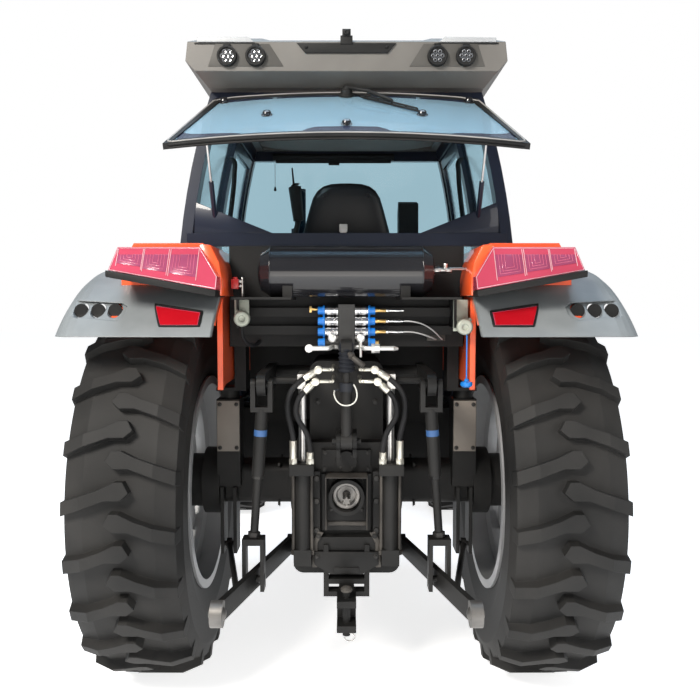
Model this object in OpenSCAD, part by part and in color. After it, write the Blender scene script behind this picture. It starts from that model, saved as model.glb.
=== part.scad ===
// Farm tractor with a glazed cab, four-wheel drive and a rear three-point hitch.
// Millimetres, +Z up, +Y forward. Every piece is drawn with the rear axle at y = 0 and the ground at z = 0.

/* [Wheels] */
// Outer diameter of a rear tyre over its lugs
rear_tyre_d = 1750; // [1600:10:1800]
// Width of a rear tyre
rear_tyre_w = 460; // [400:5:480]
// Distance between the middles of the rear tyres
rear_track = 1740; // [1720:10:1800]
// Bead diameter of a rear rim
rear_rim_d = 970; // [920:5:1000]
// Outer diameter of a front tyre over its lugs
front_tyre_d = 1270; // [1200:10:1320]
// Width of a front tyre
front_tyre_w = 360; // [320:5:380]
// Distance between the middles of the front tyres
front_track = 1720; // [1700:10:1780]
// Bead diameter of a front rim
front_rim_d = 665; // [630:5:690]
// Distance from the rear axle to the front axle
wheelbase = 2650; // [2600:10:2800]

/* [Cab] */
// Half the cab's width at its widest height
cab_half_w = 752; // [730:2:770]
// How far the cab's sides lean in at the top
cab_lean = 140; // [100:5:160]
// Height of the cab floor above the ground
floor_z = 1130; // [1110:5:1150]
// Height of the rear window's sill
sill_z = 2052; // [2030:2:2080]
// Height of the roof's underside
roof_z = 2690; // [2670:5:2720]
// Height of the roof's shell
roof_h = 210; // [190:5:240]
// Distance of the rear window frame behind the axle at the sill
cab_rear = 275; // [260:5:285]
// Distance of the windscreen's foot ahead of the axle
cab_front = 1340; // [1320:5:1360]
// Thickness of the cab's frame
cab_wall = 50; // [40:2:60]

/* [Fenders] */
// Space between a rear tyre and its fender
arch_gap = 108; // [95:2:120]
// Outer reach of the fenders from the middle
fender_reach = 1180; // [1150:5:1200]
// Height of the fenders' flat top
fender_top = 1995; // [1960:5:2000]

/* [Hitch] */
// Length of a lower link between its pins along the tractor
link_len = 810; // [760:5:860]
// Length of a lift arm, and of the lower link's part ahead of its lift rod
arm_len = 460; // [420:5:500]
// Distance of a lower link's front pin from the middle
link_front_x = 262; // [258:1:268]
// Distance of a lower link's ball from the middle
link_ball_x = 475; // [450:5:490]
// Height of the lower links' front pins
link_z = 600; // [590:2:620]
// Height of the lift arms' shaft
arm_z = 1410; // [1390:2:1430]

/* [Air tank] */
// Diameter of the air tank
tank_d = 215; // [190:5:230]
// Length of the air tank
tank_len = 760; // [700:10:800]
// Height of the air tank's middle
tank_z = 1872; // [1860:2:1880]

/* [Hood] */
// Half the hood's width
hood_half_w = 375; // [360:5:390]
// Height of the hood's top at the cab
hood_top = 1800; // [1760:5:1830]
// Distance of the hood's nose ahead of the front axle
hood_nose = 640; // [600:10:680]

/* [Hidden] */
$fn = 48;
few = 24;
fine = 720;
fit_gap = 0.3;
slip = 0.3;
run_gap = 6;

rear_r = rear_tyre_d / 2;
front_r = front_tyre_d / 2;
rear_x = rear_track / 2;
front_x = front_track / 2;
front_y = wheelbase;

// Wheels, with sizes along the axle counted from the tyre's middle
lug_h = 42;
front_lug_h = 34;
bead_share = 0.42;
bulge_share = 0.68;
shoulder_share = 0.95;
crown_share = 0.6;
shoulder_drop = 34;
floor_share = 0.75;
edge_share = 0.93;
foot_share = 1.9;
foot_w_share = 0.98;
rear_lugs = 23;
front_lugs = 20;
// A lug's corners as seen on the tread: shares of the pitch around the tyre, and of half its width
lug_shares = [
    [-0.06, 1.1], [0.17, 1.1], [0.43, 0.3], [0.55, 0.04], [0.55, -0.11], [0.38, -0.21], [0.26, -0.07], [0.26, 0.19]
];
rim_wall = 14;
flange_h = 26;
flange_w = 12;
well_depth = 40;
well_share = 0.5;
disc_t = 16;
disc_at = -60;
front_disc_at = 20;
disc_gap = 62;
ear_r = 66;
ears = 8;
hub_r = 130;
front_hub_r = 105;
hub_t = 30;
bolt_r = 14;
bolt_h = 18;
bolts = 8;
bolt_share = 0.76;
axle_r = 58;
front_axle_r = 45;
axle_in = 70;
lug_w = 90;
lug_t = 40;

// Rear axle and gearbox
case_w = 235;
case_low = 545;
case_high = 1130;
case_rear = 380;
case_front = 300;
case_round = 45;
tail_w = 180;
tail_low = 640;
tail_high = 1020;
bell_r = 270;
bell_len = 240;
bell_z = 815;
engine_rear = 1390;
lift_w = 165;
lift_rear = 300;
lift_front = 140;
lift_top = 1482;
shaft_r = 40;
arm_shaft_y = -140;
trumpet_w = 200;
trumpet_h = 190;
trumpet_round = 40;
trumpet_end = 612;
flange_r = 150;
flange_t = 30;
drum_r = 160;
drum_at = 600;
drum_t = 84;
snout_r = 128;
snout_end = rear_x + disc_at - hub_t - run_gap;
post_x = 500;
post_w = 110;
post_rear = -150;
post_len = 130;
post_top = 1290;
mount_r = 45;
foot_z = 1330;
foot_t = 15;
foot_w = 54;
stay_x = 556;
stay_w = 16;
stay_gap = 38;
stay_len = 90;
stay_drop = 42;

// Engine, front frame and weights
engine_w = 225;
engine_len = 1020;
engine_low = 772;
engine_high = 1500;
bolster_w = 190;
bolster_low = 770;
bolster_high = 1010;
bolster_len = 930;
hanger_y = 150;
hanger_t = 50;
hanger_w = 120;
pivot_r = 40;
weights = 8;
weight_t = 54;
weight_pitch = 62;
weight_len = 210;
weight_low = 640;
weight_high = 1000;
weight_round = 40;
carrier_t = 60;
carrier_high = 900;
carrier_low = 780;
weight_at = 690;
weight_face = front_y + weight_at;

// Front axle
beam_w = 130;
beam_h = 150;
beam_end = 560;
boss_r = 105;
boss_len = 235;
king_x = 650;
king_r = 52;
fork_t = 45;
fork_gap = 180;
pin_r = 24;
knuckle_h = 168;
knuckle_r = 62;
neck_r = 70;
spindle_r = 90;
spindle_end = front_x + front_disc_at - hub_t - run_gap;
arm_back = 260;
arm_w = 56;
arm_t = 30;
arm_at = 40;
tie_r = 16;
tie_end_r = 26;
tie_pin_r = 12;

// Hood and its pieces
hood_rear = cab_front + fit_gap;
hood_low = 1130;
hood_front_low = 1060;
hood_front_top = 1620;
hood_wall = 26;
hood_round = 90;
hood_nose_drop = 150;
grille_w = 270;
grille_low = 1110;
grille_high = 1540;
grille_t = 30;
grille_bar = 16;
grille_bars = 9;
vent_len = 620;
vent_h = 190;
vent_rear = 700;
vent_low = 1230;
vent_bars = 7;
head_lamp_r = 68;
head_lamp_x = 190;
head_lamp_z = 1440;
head_lamp_t = 40;
stack_x = -318;
stack_y = 1560;
stack_r = 62;
stack_low = 1500;
stack_mid = 2250;
pipe_r = 38;
stack_top = 2520;
stack_wall = 5;

// Tanks, boxes and steps under the cab
side_tank_rear = 940;
side_tank_len = 500;
side_tank_in = 300;
side_tank_w = 400;
side_tank_low = 560;
side_tank_round = 60;
battery_len = 460;
battery_low = 700;
step_in = 706;
step_w = 180;
step_len = 360;
step_t = 24;
step_low = 480;
steps = 3;
step_rise = 215;
step_rail = 16;
step_rear = 1010;

// Cab
side_mid_z = 1750;
side_steps = 14;
c_top = 190;
c_w = 78;
b_y = 505;
b_w = 66;
a_w = 62;
a_top = 1175;
a_knee_z = 1880;
rail_h = 60;
door_sill_h = 40;
arch_trim = 45;
door_gap = 8;
door_frame = 48;
door_t = 34;
door_in = 8;
glass_t = 7;
glass_in = 22;
cowl_z = 1790;
cowl_h = 60;
tub_gap = 6;
fender_in = 530;
tub_w = fender_in - tub_gap;
tub_wall = 26;
tub_low = 1545;
tub_front = b_y - b_w;
floor_t = 34;
hinge_r = 11;
hinge_gap = 3;
hinge_len = 44;
hinge_zs = [1290, 1860];
hinge_t = 12;
hinge_reach = 44;

// Roof
roof_top = roof_z + roof_h;
roof_half_w = 690;
roof_foot_w = 610;
roof_rear = 360;
roof_front = 1390;
roof_belly = 85;
roof_crown = 26;
pod_in = 330;
pod_slope = 40;
roof_round = 70;
roof_nose = 90;
lining = 60;
lining_edge = 90;
lamp_r = 36;
lamp_xs = [388, 510];
lamp_share = 0.486;
lamp_z = roof_z + roof_h * lamp_share;
lamp_t = 46;
lamp_sink = 22;

// Rear window, open at rest
hinge_y = -205;
hinge_z = 2630;
window_len = 610;
window_low_w = 700;
window_top_w = 585;
window_sag = 40;
window_open = 30;
seal_w = 34;
seal_t = 24;
window_drop = 30;
hinge_ear = 40;
hinge_ear_t = 14;
hinge_pin_r = 10;
strut_x = 590;
strut_low_y = -215;
strut_low_z = 2072;
strut_on = 300;
strut_off = 45;
strut_pin_r = 6;
hinge_ear_x = 480;
strut_post = 14;
strut_r = 11;
strut_rod_r = 5;
strut_body_share = 0.53;
strut_rod_share = 0.475;
strut_eye_r = 12;
strut_eye_w = 16;

// Fenders
arch_r = rear_r + arch_gap;
fender_t = 24;
skin_t = 28;
skin_over = 220;
fender_mid = fender_reach - skin_over;
fender_rear_deg = 128;
fender_front_deg = 28;
skin_rear_deg = 140;
skin_front_deg = 34;
top_rear = 430;
top_front = 430;
inner_low = 1385;
chamfer_z = 1870;
chamfer_w = 80;
chamfer_in = fender_in + chamfer_w;
chamfer_out_w = 55;
chamfer_out = fender_mid - chamfer_out_w;
chamfer_out_z = 1890;
bevel_share = 0.5;
skin_r = arch_r + fender_t + fit_gap + skin_t;
skin_low = 1608;
edge_w = 110;
edge_drop = 115;
edge_steps = 6;
recess_d = 10;
recess_len = 290;
recess_in = fender_reach - recess_len;
recess_edge = 12;
recess_out = fender_reach - recess_edge;
recess_low = 1668;
recess_high = 1752;
recess_cut = 26;
slot_r = 29;
slot_ins = [242, 173, 104];
slot_z = 1709;
light_over = 22;
light_in = fender_in - light_over;
light_edge = 18;
light_out = fender_mid - light_edge;
light_top_in = light_in + chamfer_w;
light_top_out = light_out - light_over;
light_low_in = 1792;
light_mid_in = 1843;
light_low_out = 1870;
light_top = 1965;
light_rear = 715;
light_slope = 110;
mark_at = 55;
mark_in = fender_in + mark_at;
mark_w = 187;
mark_out = mark_in + mark_w;
mark_slant = 40;
mark_low_out = mark_out - mark_slant;
mark_low = 1654;
mark_high_in = 1703;
mark_high_out = 1729;
mark_t = 9;

// Rear shelf, air tank and valves
shelf_t = 10;
shelf_z = tank_z - tank_d / 2 - shelf_t;
shelf_in = 225;
shelf_out = 470;
shelf_len = 270;
saddle_t = 40;
saddle_h = 60;
tank_y = -440;
tank_dome = 60;
beam_zs = [1600, 1680];
beam_t = 40;
beam_d = 36;
beam_half = 470;
valve_w = 70;
valve_low = 1545;
valve_high = 1735;
valve_y = -400;
valve_d = 90;
coupler_zs = [1570, 1616, 1662, 1708];
coupler_r = 17;
coupler_len = 58;
coupler_tip_r = 14;
cap_r = 17;
cap_len = 30;
cap_rim_r = 21;
cap_rim = 9;

// Hitch
arm_x = 345;
arm_plate = 36;
arm_h = 96;
arm_tip_r = 46;
arm_pin_r = 16;
rod_fork = 20;
rod_fork_gap = 7;
rod_r = 17;
rod_sleeve_r = 26;
rod_sleeve_share = 0.5;
yoke_gap = 29;
yoke_t = 16;
yoke_len = 70;
yoke_low = 42;
yoke_high = 150;
yoke_bridge = 26;
yoke_pin_r = 14;
link_bar = 24;
link_h = 78;
link_eye_r = 44;
link_eye_w = 36;
link_pin_r = 20;
link_side_gap = 9;
ball_r = 48;
ball_w = 44;
ball_bore_r = 14.35;
stay_r = 13;
stay_eye_r = 26;
stay_eye_w = 24;
stay_pin_r = 12;
stay_end_share = 0.78;
cyl_x = 190;
cyl_y = -432;
cyl_r = 36;
cyl_low = 640;
cyl_high = 1060;
cyl_head = 64;
cyl_head_h = 50;
cyl_rod_r = 17;
cyl_foot_w = 76;
cyl_foot_h = 70;
cyl_bore_len = 300;
cyl_eye_w = 34;
cyl_eye_h = 62;
cyl_slot_reach = 34;
cyl_pin_r = 15;
cyl_pin_end = 152;
plate_w = 107;
plate_low = 745;
plate_high = 995;
plate_t = 28;
guard_r = 78;
guard_in = 62;
guard_len = 60;
pto_z = 905;
pto_r = 17.45;
pto_len = 130;
spline_d = 5;
spline_w = 9;
splines = 6;
rail_x = 115;
rail_w = 30;
rail_low = 690;
rail_top = 1010;
rail_t = 44;
hole_r = 9;
cover_low = 1003;
cover_high = 1100;
cover_r = 46;
cover_t = 18;
top_y = -492;
top_z = 1155;
top_ear_t = 18;
top_ear_x = 44;
top_ear_r = 36;
top_pin_r = 14;
top_len = 400;
top_tube_r = 24;
top_eye_r = 34;
top_eye_w = 46;
top_rod_r = 16;
top_tube_share = 0.55;
bar_w = 66;
bar_h = 34;
bar_z = 500;
bar_front = 120;
bar_rear = 770;
clevis_w = 74;
clevis_len = 90;
clevis_gap = 70;
clevis_t = 26;
clevis_pin_r = 15;
clevis_pin_over = 40;
hang_w = 22;
hang_t = 60;
hang_x = 100;

// Seat and controls
seat_y = 430;
seat_w = 500;
seat_len = 480;
seat_z = 1650;
seat_t = 130;
seat_back_t = 130;
seat_back_top = 2370;
seat_back_lean = 70;
seat_round = 45;
seat_base_w = 330;
seat_base_len = 330;
dash_w = 330;
dash_len = 270;
dash_top = 1785;
wheel_d = 420;
wheel_rim_r = 16;
wheel_tilt = 32;
wheel_y = 890;
wheel_z = 1960;
wheel_hub_r = 42;
wheel_spoke = 24;
column_r = 28;
column_len = 330;

rear_end = link_len - arm_shaft_y + ball_r;
front_end = weight_face + weight_len;
origin_y = (front_end - rear_end) / 2;

function side_x(z) = cab_half_w - cab_lean * pow((z - side_mid_z) / (roof_z - side_mid_z), 2);
function side_line(in, low, high) =
    [for (i = [0 : side_steps]) let (z = low + (high - low) * i / side_steps) [side_x(z) - in, z]];
function flipped(list) = [for (i = [len(list) - 1 : -1 : 0]) list[i]];

// Moves the drawn pieces so that their box stands with its middle at the origin
module placed() {
    translate([0, -origin_y, 0])
    children();
}

module both() {
    children();
    mirror([1, 0, 0])
    children();
}

// Draws an outline given in y and z, from one x to another
module side_prism(x0, x1) {
    translate([x0, 0, 0])
    rotate([90, 0, 90])
    linear_extrude(x1 - x0)
    children();
}

// Draws an outline given in x and z, from one y to another
module rear_prism(y0, y1) {
    translate([0, y1, 0])
    rotate([90, 0, 0])
    linear_extrude(y1 - y0)
    children();
}

module block(x0, x1, y0, y1, z0, z1) {
    translate([x0, y0, z0])
    cube([x1 - x0, y1 - y0, z1 - z0]);
}

module rounded(w, h, r) {
    offset(r = r, $fn = few)
    square([w - r - r, h - r - r], center = true);
}

module drum_x(x0, x1, y, z, r) {
    translate([x0, y, z])
    rotate([0, 90, 0])
    cylinder(h = x1 - x0, r = r);
}

module drum_y(y0, y1, x, z, r) {
    translate([x, y1, z])
    rotate([90, 0, 0])
    cylinder(h = y1 - y0, r = r);
}

module drum_z(z0, z1, x, y, r) {
    translate([x, y, z0])
    cylinder(h = z1 - z0, r = r);
}

module rod(a, b, r) {
    d = b - a;
    translate(a)
    rotate([0, acos(d[2] / norm(d)), atan2(d[1], d[0])])
    cylinder(h = norm(d), r = r);
}

// Places a wheel drawn about z at the right-hand side, its outer face to +x
module wheel_at(x, y, z) {
    translate([x, y, z])
    rotate([0, 90, 0])
    children();
}

// A tyre's body, below its lugs
module carcass(r, w, rim_d, drop, lug) {
    bead_r = rim_d / 2 + fit_gap;
    half = w / 2;
    bead = w * bead_share;
    mid = bead_r + (r - bead_r) * bulge_share;
    low = bead_r + (r - bead_r) * (1 - bulge_share);
    rotate_extrude($fn = few * 3)
    polygon([
        [bead_r, -bead], [bead_r + flange_h, -bead], [low, -half * shoulder_share], [mid, -half],
        [r - drop - lug * floor_share, -half * edge_share], [r - lug, -half * crown_share],
        [r - lug, half * crown_share], [r - drop - lug * floor_share, half * edge_share],
        [mid, half], [low, half * shoulder_share], [bead_r + flange_h, bead], [bead_r, bead]
    ]);
}

// The bars of the tread, cut to the tyre's outer shape
module lug_ring(r, w, rim_d, drop, lug, count) {
    half = w / 2;
    pitch = 2 * PI * r / count;
    foot = r - drop - lug * foot_share;
    intersection() {
        rotate_extrude($fn = few * 3)
        polygon([
            [foot, -half * foot_w_share], [r - drop, -half * shoulder_share], [r, -half * crown_share],
            [r, half * crown_share], [r - drop, half * shoulder_share], [foot, half * foot_w_share]
        ]);
        union()
        for (i = [0 : count - 1])
            for (side = [0, 1])
                rotate(360 * (i + side / 2) / count)
                translate([foot - lug, 0, 0])
                rotate([90, 0, 90])
                linear_extrude(r - foot + lug * 2)
                polygon([for (p = lug_shares) [-p[0] * pitch, p[1] * half * (1 - 2 * side)]]);
    }
}

module tyre(r, w, rim_d, drop, lug, count) {
    union() {
        carcass(r, w, rim_d, drop, lug);
        lug_ring(r, w, rim_d, drop, lug, count);
    }
}

module rim(rim_d, w, disc_z, hub, stub_r, stub_len) {
    seat_r = rim_d / 2;
    edge = w * bead_share + fit_gap;
    lip = edge + flange_w;
    well = edge * well_share;
    deep = seat_r - well_depth;
    rotate_extrude($fn = few * 3)
    polygon([
        [seat_r, -edge], [seat_r + flange_h, -edge], [seat_r + flange_h, -lip], [seat_r - rim_wall, -lip],
        [seat_r - rim_wall, -well - rim_wall], [deep - rim_wall, -well], [deep - rim_wall, well],
        [seat_r - rim_wall, well + rim_wall], [seat_r - rim_wall, lip], [seat_r + flange_h, lip],
        [seat_r + flange_h, edge], [seat_r, edge], [seat_r, well + rim_wall], [deep, well],
        [deep, -well], [seat_r, -well - rim_wall]
    ]);
    for (i = [0 : ears - 1])
        rotate(360 * i / ears)
        translate([deep - rim_wall - lug_t, -lug_w / 2, disc_z - disc_t / 2])
        cube([lug_t + rim_wall / 2, lug_w, lug_t + disc_t / 2]);
    translate([0, 0, disc_z - disc_t])
    linear_extrude(disc_t)
    union() {
        circle(deep - rim_wall - disc_gap);
        for (i = [0 : ears - 1])
            rotate(360 * i / ears)
            translate([deep - rim_wall - disc_gap, 0])
            circle(ear_r - rim_wall);
    }
    translate([0, 0, disc_z - disc_t - hub_t])
    cylinder(h = hub_t + disc_t / 2, r = hub);
    translate([0, 0, disc_z - disc_t - hub_t - stub_len])
    cylinder(h = stub_len + hub_t / 2, r = stub_r);
    for (i = [0 : bolts - 1])
        rotate(360 * (i + 1 / 2) / bolts)
        translate([hub * bolt_share, 0, disc_z - disc_t / 2])
        cylinder(h = bolt_h + disc_t / 2, r = bolt_r, $fn = 6);
}

module rear_tyre_right() {
    color([0.1, 0.1, 0.1])
    wheel_at(rear_x, 0, rear_r)
    tyre(rear_r, rear_tyre_w, rear_rim_d, shoulder_drop, lug_h, rear_lugs);
}

module rear_tyre_left() {
    mirror([1, 0, 0])
    rear_tyre_right();
}

module rear_rim_right() {
    color([0.55, 0.55, 0.55])
    wheel_at(rear_x, 0, rear_r)
    rim(rear_rim_d, rear_tyre_w, disc_at + disc_t, hub_r, axle_r, axle_in);
}

module rear_rim_left() {
    mirror([1, 0, 0])
    rear_rim_right();
}

module front_tyre_right() {
    color([0.1, 0.1, 0.1])
    wheel_at(front_x, front_y, front_r)
    tyre(front_r, front_tyre_w, front_rim_d, shoulder_drop, front_lug_h, front_lugs);
}

module front_tyre_left() {
    mirror([1, 0, 0])
    front_tyre_right();
}

module front_rim_right() {
    color([0.55, 0.55, 0.55])
    wheel_at(front_x, front_y, front_r)
    rim(front_rim_d, front_tyre_w, front_disc_at + disc_t, front_hub_r, front_axle_r, axle_in);
}

module front_rim_left() {
    mirror([1, 0, 0])
    front_rim_right();
}

module gearbox_case() {
    color([0.16, 0.16, 0.17])
    difference() {
        union() {
            rear_prism(-case_rear, case_front)
            translate([0, (case_low + case_high) / 2])
            rounded(case_w * 2, case_high - case_low, case_round);
            rear_prism(case_front - case_round, engine_rear - bell_len / 2)
            translate([0, (tail_low + tail_high) / 2])
            rounded(tail_w * 2, tail_high - tail_low, case_round);
            drum_y(engine_rear - bell_len, engine_rear, 0, bell_z, bell_r);
            rear_prism(-lift_rear, lift_front)
            translate([0, (case_high + lift_top - case_round) / 2])
            rounded(lift_w * 2, lift_top - case_high + case_round, case_round);
            both()
            drum_x(case_w - case_round, case_w + link_side_gap * 2 + link_eye_w, arm_shaft_y, link_z, link_pin_r);
        }
        drum_x(-lift_w * 2, lift_w * 2, arm_shaft_y, arm_z, shaft_r + slip);
    }
}

module axle_trumpets() {
    color([0.2, 0.18, 0.17])
    both()
    difference() {
        union() {
            side_prism(case_w, trumpet_end)
            translate([0, rear_r])
            rounded(trumpet_w, trumpet_h, trumpet_round);
            drum_x(case_w, case_w + flange_t, 0, rear_r, flange_r);
            drum_x(drum_at, drum_at + drum_t, 0, rear_r, drum_r);
            drum_x(drum_at, snout_end, 0, rear_r, snout_r);
            block(post_x, post_x + post_w, post_rear, post_rear + post_len, rear_r, post_top);
            block(stay_x - stay_gap, stay_x - stay_gap + stay_w, arm_shaft_y - stay_pin_r * 2,
                arm_shaft_y + stay_len, link_z - stay_drop, rear_r);
            block(stay_x + stay_gap - stay_w, stay_x + stay_gap, arm_shaft_y - stay_pin_r * 2,
                arm_shaft_y + stay_len, link_z - stay_drop, rear_r);
            drum_x(stay_x - stay_gap, stay_x + stay_gap, arm_shaft_y, link_z, stay_pin_r);
        }
        drum_x(snout_end - axle_in, snout_end + axle_in, 0, rear_r, axle_r + slip);
    }
}

module cab_mounts() {
    color([0.06, 0.06, 0.06])
    both()
    drum_z(post_top, foot_z, post_x + post_w / 2, post_rear + post_len / 2, mount_r);
}

module engine_block() {
    color([0.2, 0.2, 0.21])
    block(-engine_w, engine_w, engine_rear, engine_rear + engine_len, engine_low, engine_high);
}

module front_frame() {
    bolster_rear = engine_rear + engine_len;
    color([0.13, 0.13, 0.14])
    difference() {
        union() {
            block(-bolster_w, bolster_w, bolster_rear, bolster_rear + bolster_len, bolster_low, bolster_high);
            for (s = [-1, 1])
                block(-hanger_w, hanger_w, front_y + s * hanger_y - hanger_t / 2,
                    front_y + s * hanger_y + hanger_t / 2, front_r - pivot_r * 2, bolster_high);
        }
        drum_y(front_y - hanger_y * 2, front_y + hanger_y * 2, 0, front_r, pivot_r + slip);
    }
}

module front_weights() {
    bolster_front = engine_rear + engine_len + bolster_len;
    color([0.12, 0.12, 0.13])
    union() {
        block(-weight_pitch * weights / 2, weight_pitch * weights / 2, bolster_front,
            weight_face + carrier_t, carrier_low, carrier_high);
        for (i = [0 : weights - 1])
            translate([(i - (weights - 1) / 2) * weight_pitch - weight_t / 2, 0, 0])
            side_prism(0, weight_t)
            translate([weight_face + weight_len / 2, (weight_low + weight_high) / 2])
            rounded(weight_len, weight_high - weight_low, weight_round);
    }
}

module front_axle() {
    color([0.16, 0.16, 0.17])
    difference() {
        union() {
            side_prism(-beam_end, beam_end)
            translate([front_y, front_r])
            rounded(beam_w, beam_h, trumpet_round);
            drum_y(front_y - boss_len / 2, front_y + boss_len / 2, 0, front_r, boss_r);
            drum_y(front_y - hanger_y - hanger_t / 2, front_y + hanger_y + hanger_t / 2, 0, front_r, pivot_r);
            both()
            for (s = [-1, 1])
                translate([0, 0, front_r + s * (fork_gap + fork_t) / 2 - fork_t / 2])
                linear_extrude(fork_t)
                union() {
                    translate([king_x, front_y])
                    circle(king_r);
                    translate([beam_end - beam_h, front_y - king_r])
                    square([king_x - beam_end + beam_h, king_r * 2]);
                }
            both()
            for (s = [-1, 1])
                block(beam_end - beam_h, beam_end, front_y - king_r, front_y + king_r,
                    front_r - (fork_gap + fork_t) / 2, front_r + (fork_gap + fork_t) / 2);
        }
        both()
        drum_z(front_r - fork_gap - fork_t, front_r + fork_gap + fork_t, king_x, front_y, pin_r + slip);
    }
}

module knuckle_right() {
    color([0.18, 0.18, 0.19])
    difference() {
        union() {
            drum_z(front_r - knuckle_h / 2, front_r + knuckle_h / 2, king_x, front_y, knuckle_r);
            drum_z(front_r - fork_gap / 2 - fork_t, front_r + fork_gap / 2 + fork_t, king_x, front_y, pin_r);
            drum_x(king_x, spindle_end, front_y, front_r, neck_r);
            drum_x(king_x + knuckle_r, spindle_end, front_y, front_r, spindle_r);
            block(king_x - arm_w / 2, king_x + arm_w / 2, front_y - arm_back, front_y,
                front_r + arm_at - arm_t / 2, front_r + arm_at + arm_t / 2);
            drum_z(front_r + arm_at - arm_t / 2, front_r + arm_at + arm_t / 2, king_x, front_y - arm_back, arm_w / 2);
            drum_z(front_r + arm_at, front_r + arm_at + arm_t * 2, king_x, front_y - arm_back, tie_pin_r);
        }
        drum_x(spindle_end - axle_in, spindle_end + axle_in, front_y, front_r, front_axle_r + slip);
    }
}

module knuckle_left() {
    mirror([1, 0, 0])
    knuckle_right();
}

module tie_rod() {
    rod_z = front_r + arm_at + arm_t;
    color([0.3, 0.3, 0.3])
    difference() {
        union() {
            drum_x(-king_x, king_x, front_y - arm_back, rod_z + arm_t / 2, tie_r);
            both()
            drum_z(rod_z - arm_t / 2 + slip, rod_z + arm_t, king_x, front_y - arm_back, tie_end_r);
        }
        both()
        drum_z(rod_z - arm_t, rod_z + arm_t * 2, king_x, front_y - arm_back, tie_pin_r + slip);
    }
}

module hood_outline(in) {
    nose = front_y + hood_nose - in;
    polygon([
        [hood_rear, hood_low], [front_y, hood_front_low], [nose, hood_front_low],
        [nose, hood_front_top - hood_nose_drop - in], [nose - hood_round, hood_front_top - in],
        [hood_rear, hood_top - in]
    ]);
}

module hood_section(in) {
    half = hood_half_w - in;
    top = hood_top - in;
    polygon([
        [-half, hood_front_low], [-half, top - hood_round * 2], [-half + hood_round / 3, top - hood_round],
        [-half + hood_round, top - hood_round / 3], [-half + hood_round * 2, top],
        [half - hood_round * 2, top], [half - hood_round, top - hood_round / 3],
        [half - hood_round / 3, top - hood_round], [half, top - hood_round * 2], [half, hood_front_low]
    ]);
}

module hood() {
    nose = front_y + hood_nose;
    vent_y = hood_rear + vent_rear;
    color([0.72, 0.16, 0.07])
    difference() {
        intersection() {
            side_prism(-hood_half_w, hood_half_w)
            hood_outline(0);
            rear_prism(hood_rear, nose)
            hood_section(0);
        }
        intersection() {
            side_prism(-hood_half_w, hood_half_w)
            translate([0, -fit_gap])
            hood_outline(hood_wall);
            rear_prism(hood_rear - hood_wall, nose)
            translate([0, -fit_gap])
            hood_section(hood_wall);
        }
        block(-grille_w, grille_w, nose - hood_wall * 2, nose + hood_wall, grille_low, grille_high);
        block(-hood_half_w * 2, hood_half_w * 2, vent_y, vent_y + vent_len, vent_low, vent_low + vent_h);
        drum_z(hood_low, hood_top + hood_round, stack_x, stack_y, stack_r + run_gap);
    }
}

module hood_grille() {
    nose = front_y + hood_nose;
    pitch = (grille_high - grille_low) / grille_bars;
    vent_y = hood_rear + vent_rear;
    vent_pitch = vent_h / vent_bars;
    color([0.05, 0.05, 0.05])
    union() {
        difference() {
            block(-grille_w, grille_w, nose - grille_t, nose, grille_low, grille_high);
            for (i = [0 : grille_bars - 1])
                block(-grille_w + grille_bar, grille_w - grille_bar, nose - grille_t * 2, nose + grille_t,
                    grille_low + pitch * i + grille_bar / 2, grille_low + pitch * (i + 1) - grille_bar / 2);
        }
        both()
        difference() {
            block(hood_half_w - hood_wall, hood_half_w, vent_y, vent_y + vent_len, vent_low, vent_low + vent_h);
            for (i = [0 : vent_bars - 1])
                block(hood_half_w - hood_wall * 2, hood_half_w * 2, vent_y + grille_bar,
                    vent_y + vent_len - grille_bar, vent_low + vent_pitch * i + grille_bar / 3,
                    vent_low + vent_pitch * (i + 1) - grille_bar / 3);
        }
    }
}

module head_lamps() {
    nose = front_y + hood_nose;
    color([0.9, 0.9, 0.85])
    both()
    drum_y(nose, nose + head_lamp_t, head_lamp_x, head_lamp_z, head_lamp_r);
}

module exhaust_stack() {
    color([0.12, 0.12, 0.12])
    difference() {
        union() {
            drum_z(stack_low, stack_mid, stack_x, stack_y, stack_r);
            drum_z(stack_mid - stack_r, stack_top, stack_x, stack_y, pipe_r);
            block(stack_x, -engine_w - fit_gap, stack_y - pipe_r, stack_y + pipe_r, stack_low - pipe_r, stack_low + pipe_r);
        }
        drum_z(stack_mid, stack_top + stack_r, stack_x, stack_y, pipe_r - stack_wall);
    }
}

module fuel_tank() {
    color([0.08, 0.08, 0.08])
    translate([-side_tank_in - side_tank_w / 2, side_tank_rear + side_tank_len / 2, side_tank_low])
    linear_extrude(floor_z - floor_t - fit_gap - side_tank_low)
    rounded(side_tank_w, side_tank_len, side_tank_round);
}

module battery_box() {
    color([0.08, 0.08, 0.08])
    translate([side_tank_in + side_tank_w / 2, side_tank_rear + battery_len / 2, battery_low])
    linear_extrude(floor_z - floor_t - fit_gap - battery_low)
    rounded(side_tank_w, battery_len, side_tank_round / 2);
}

module cab_steps() {
    color([0.1, 0.1, 0.1])
    both()
    union() {
        for (i = [0 : steps - 1])
            block(step_in, step_in + step_w, step_rear, step_rear + step_len,
                step_low + step_rise * i, step_low + step_rise * i + step_t);
        for (y = [step_rear, step_rear + step_len - step_rail])
            block(step_in, step_in + step_w / 2, y, y + step_rail, step_low, floor_z - floor_t);
        block(side_tank_in + side_tank_w + fit_gap, step_in + step_rail, step_rear, step_rear + step_len,
            floor_z - floor_t - step_t, floor_z - floor_t);
    }
}

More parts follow.
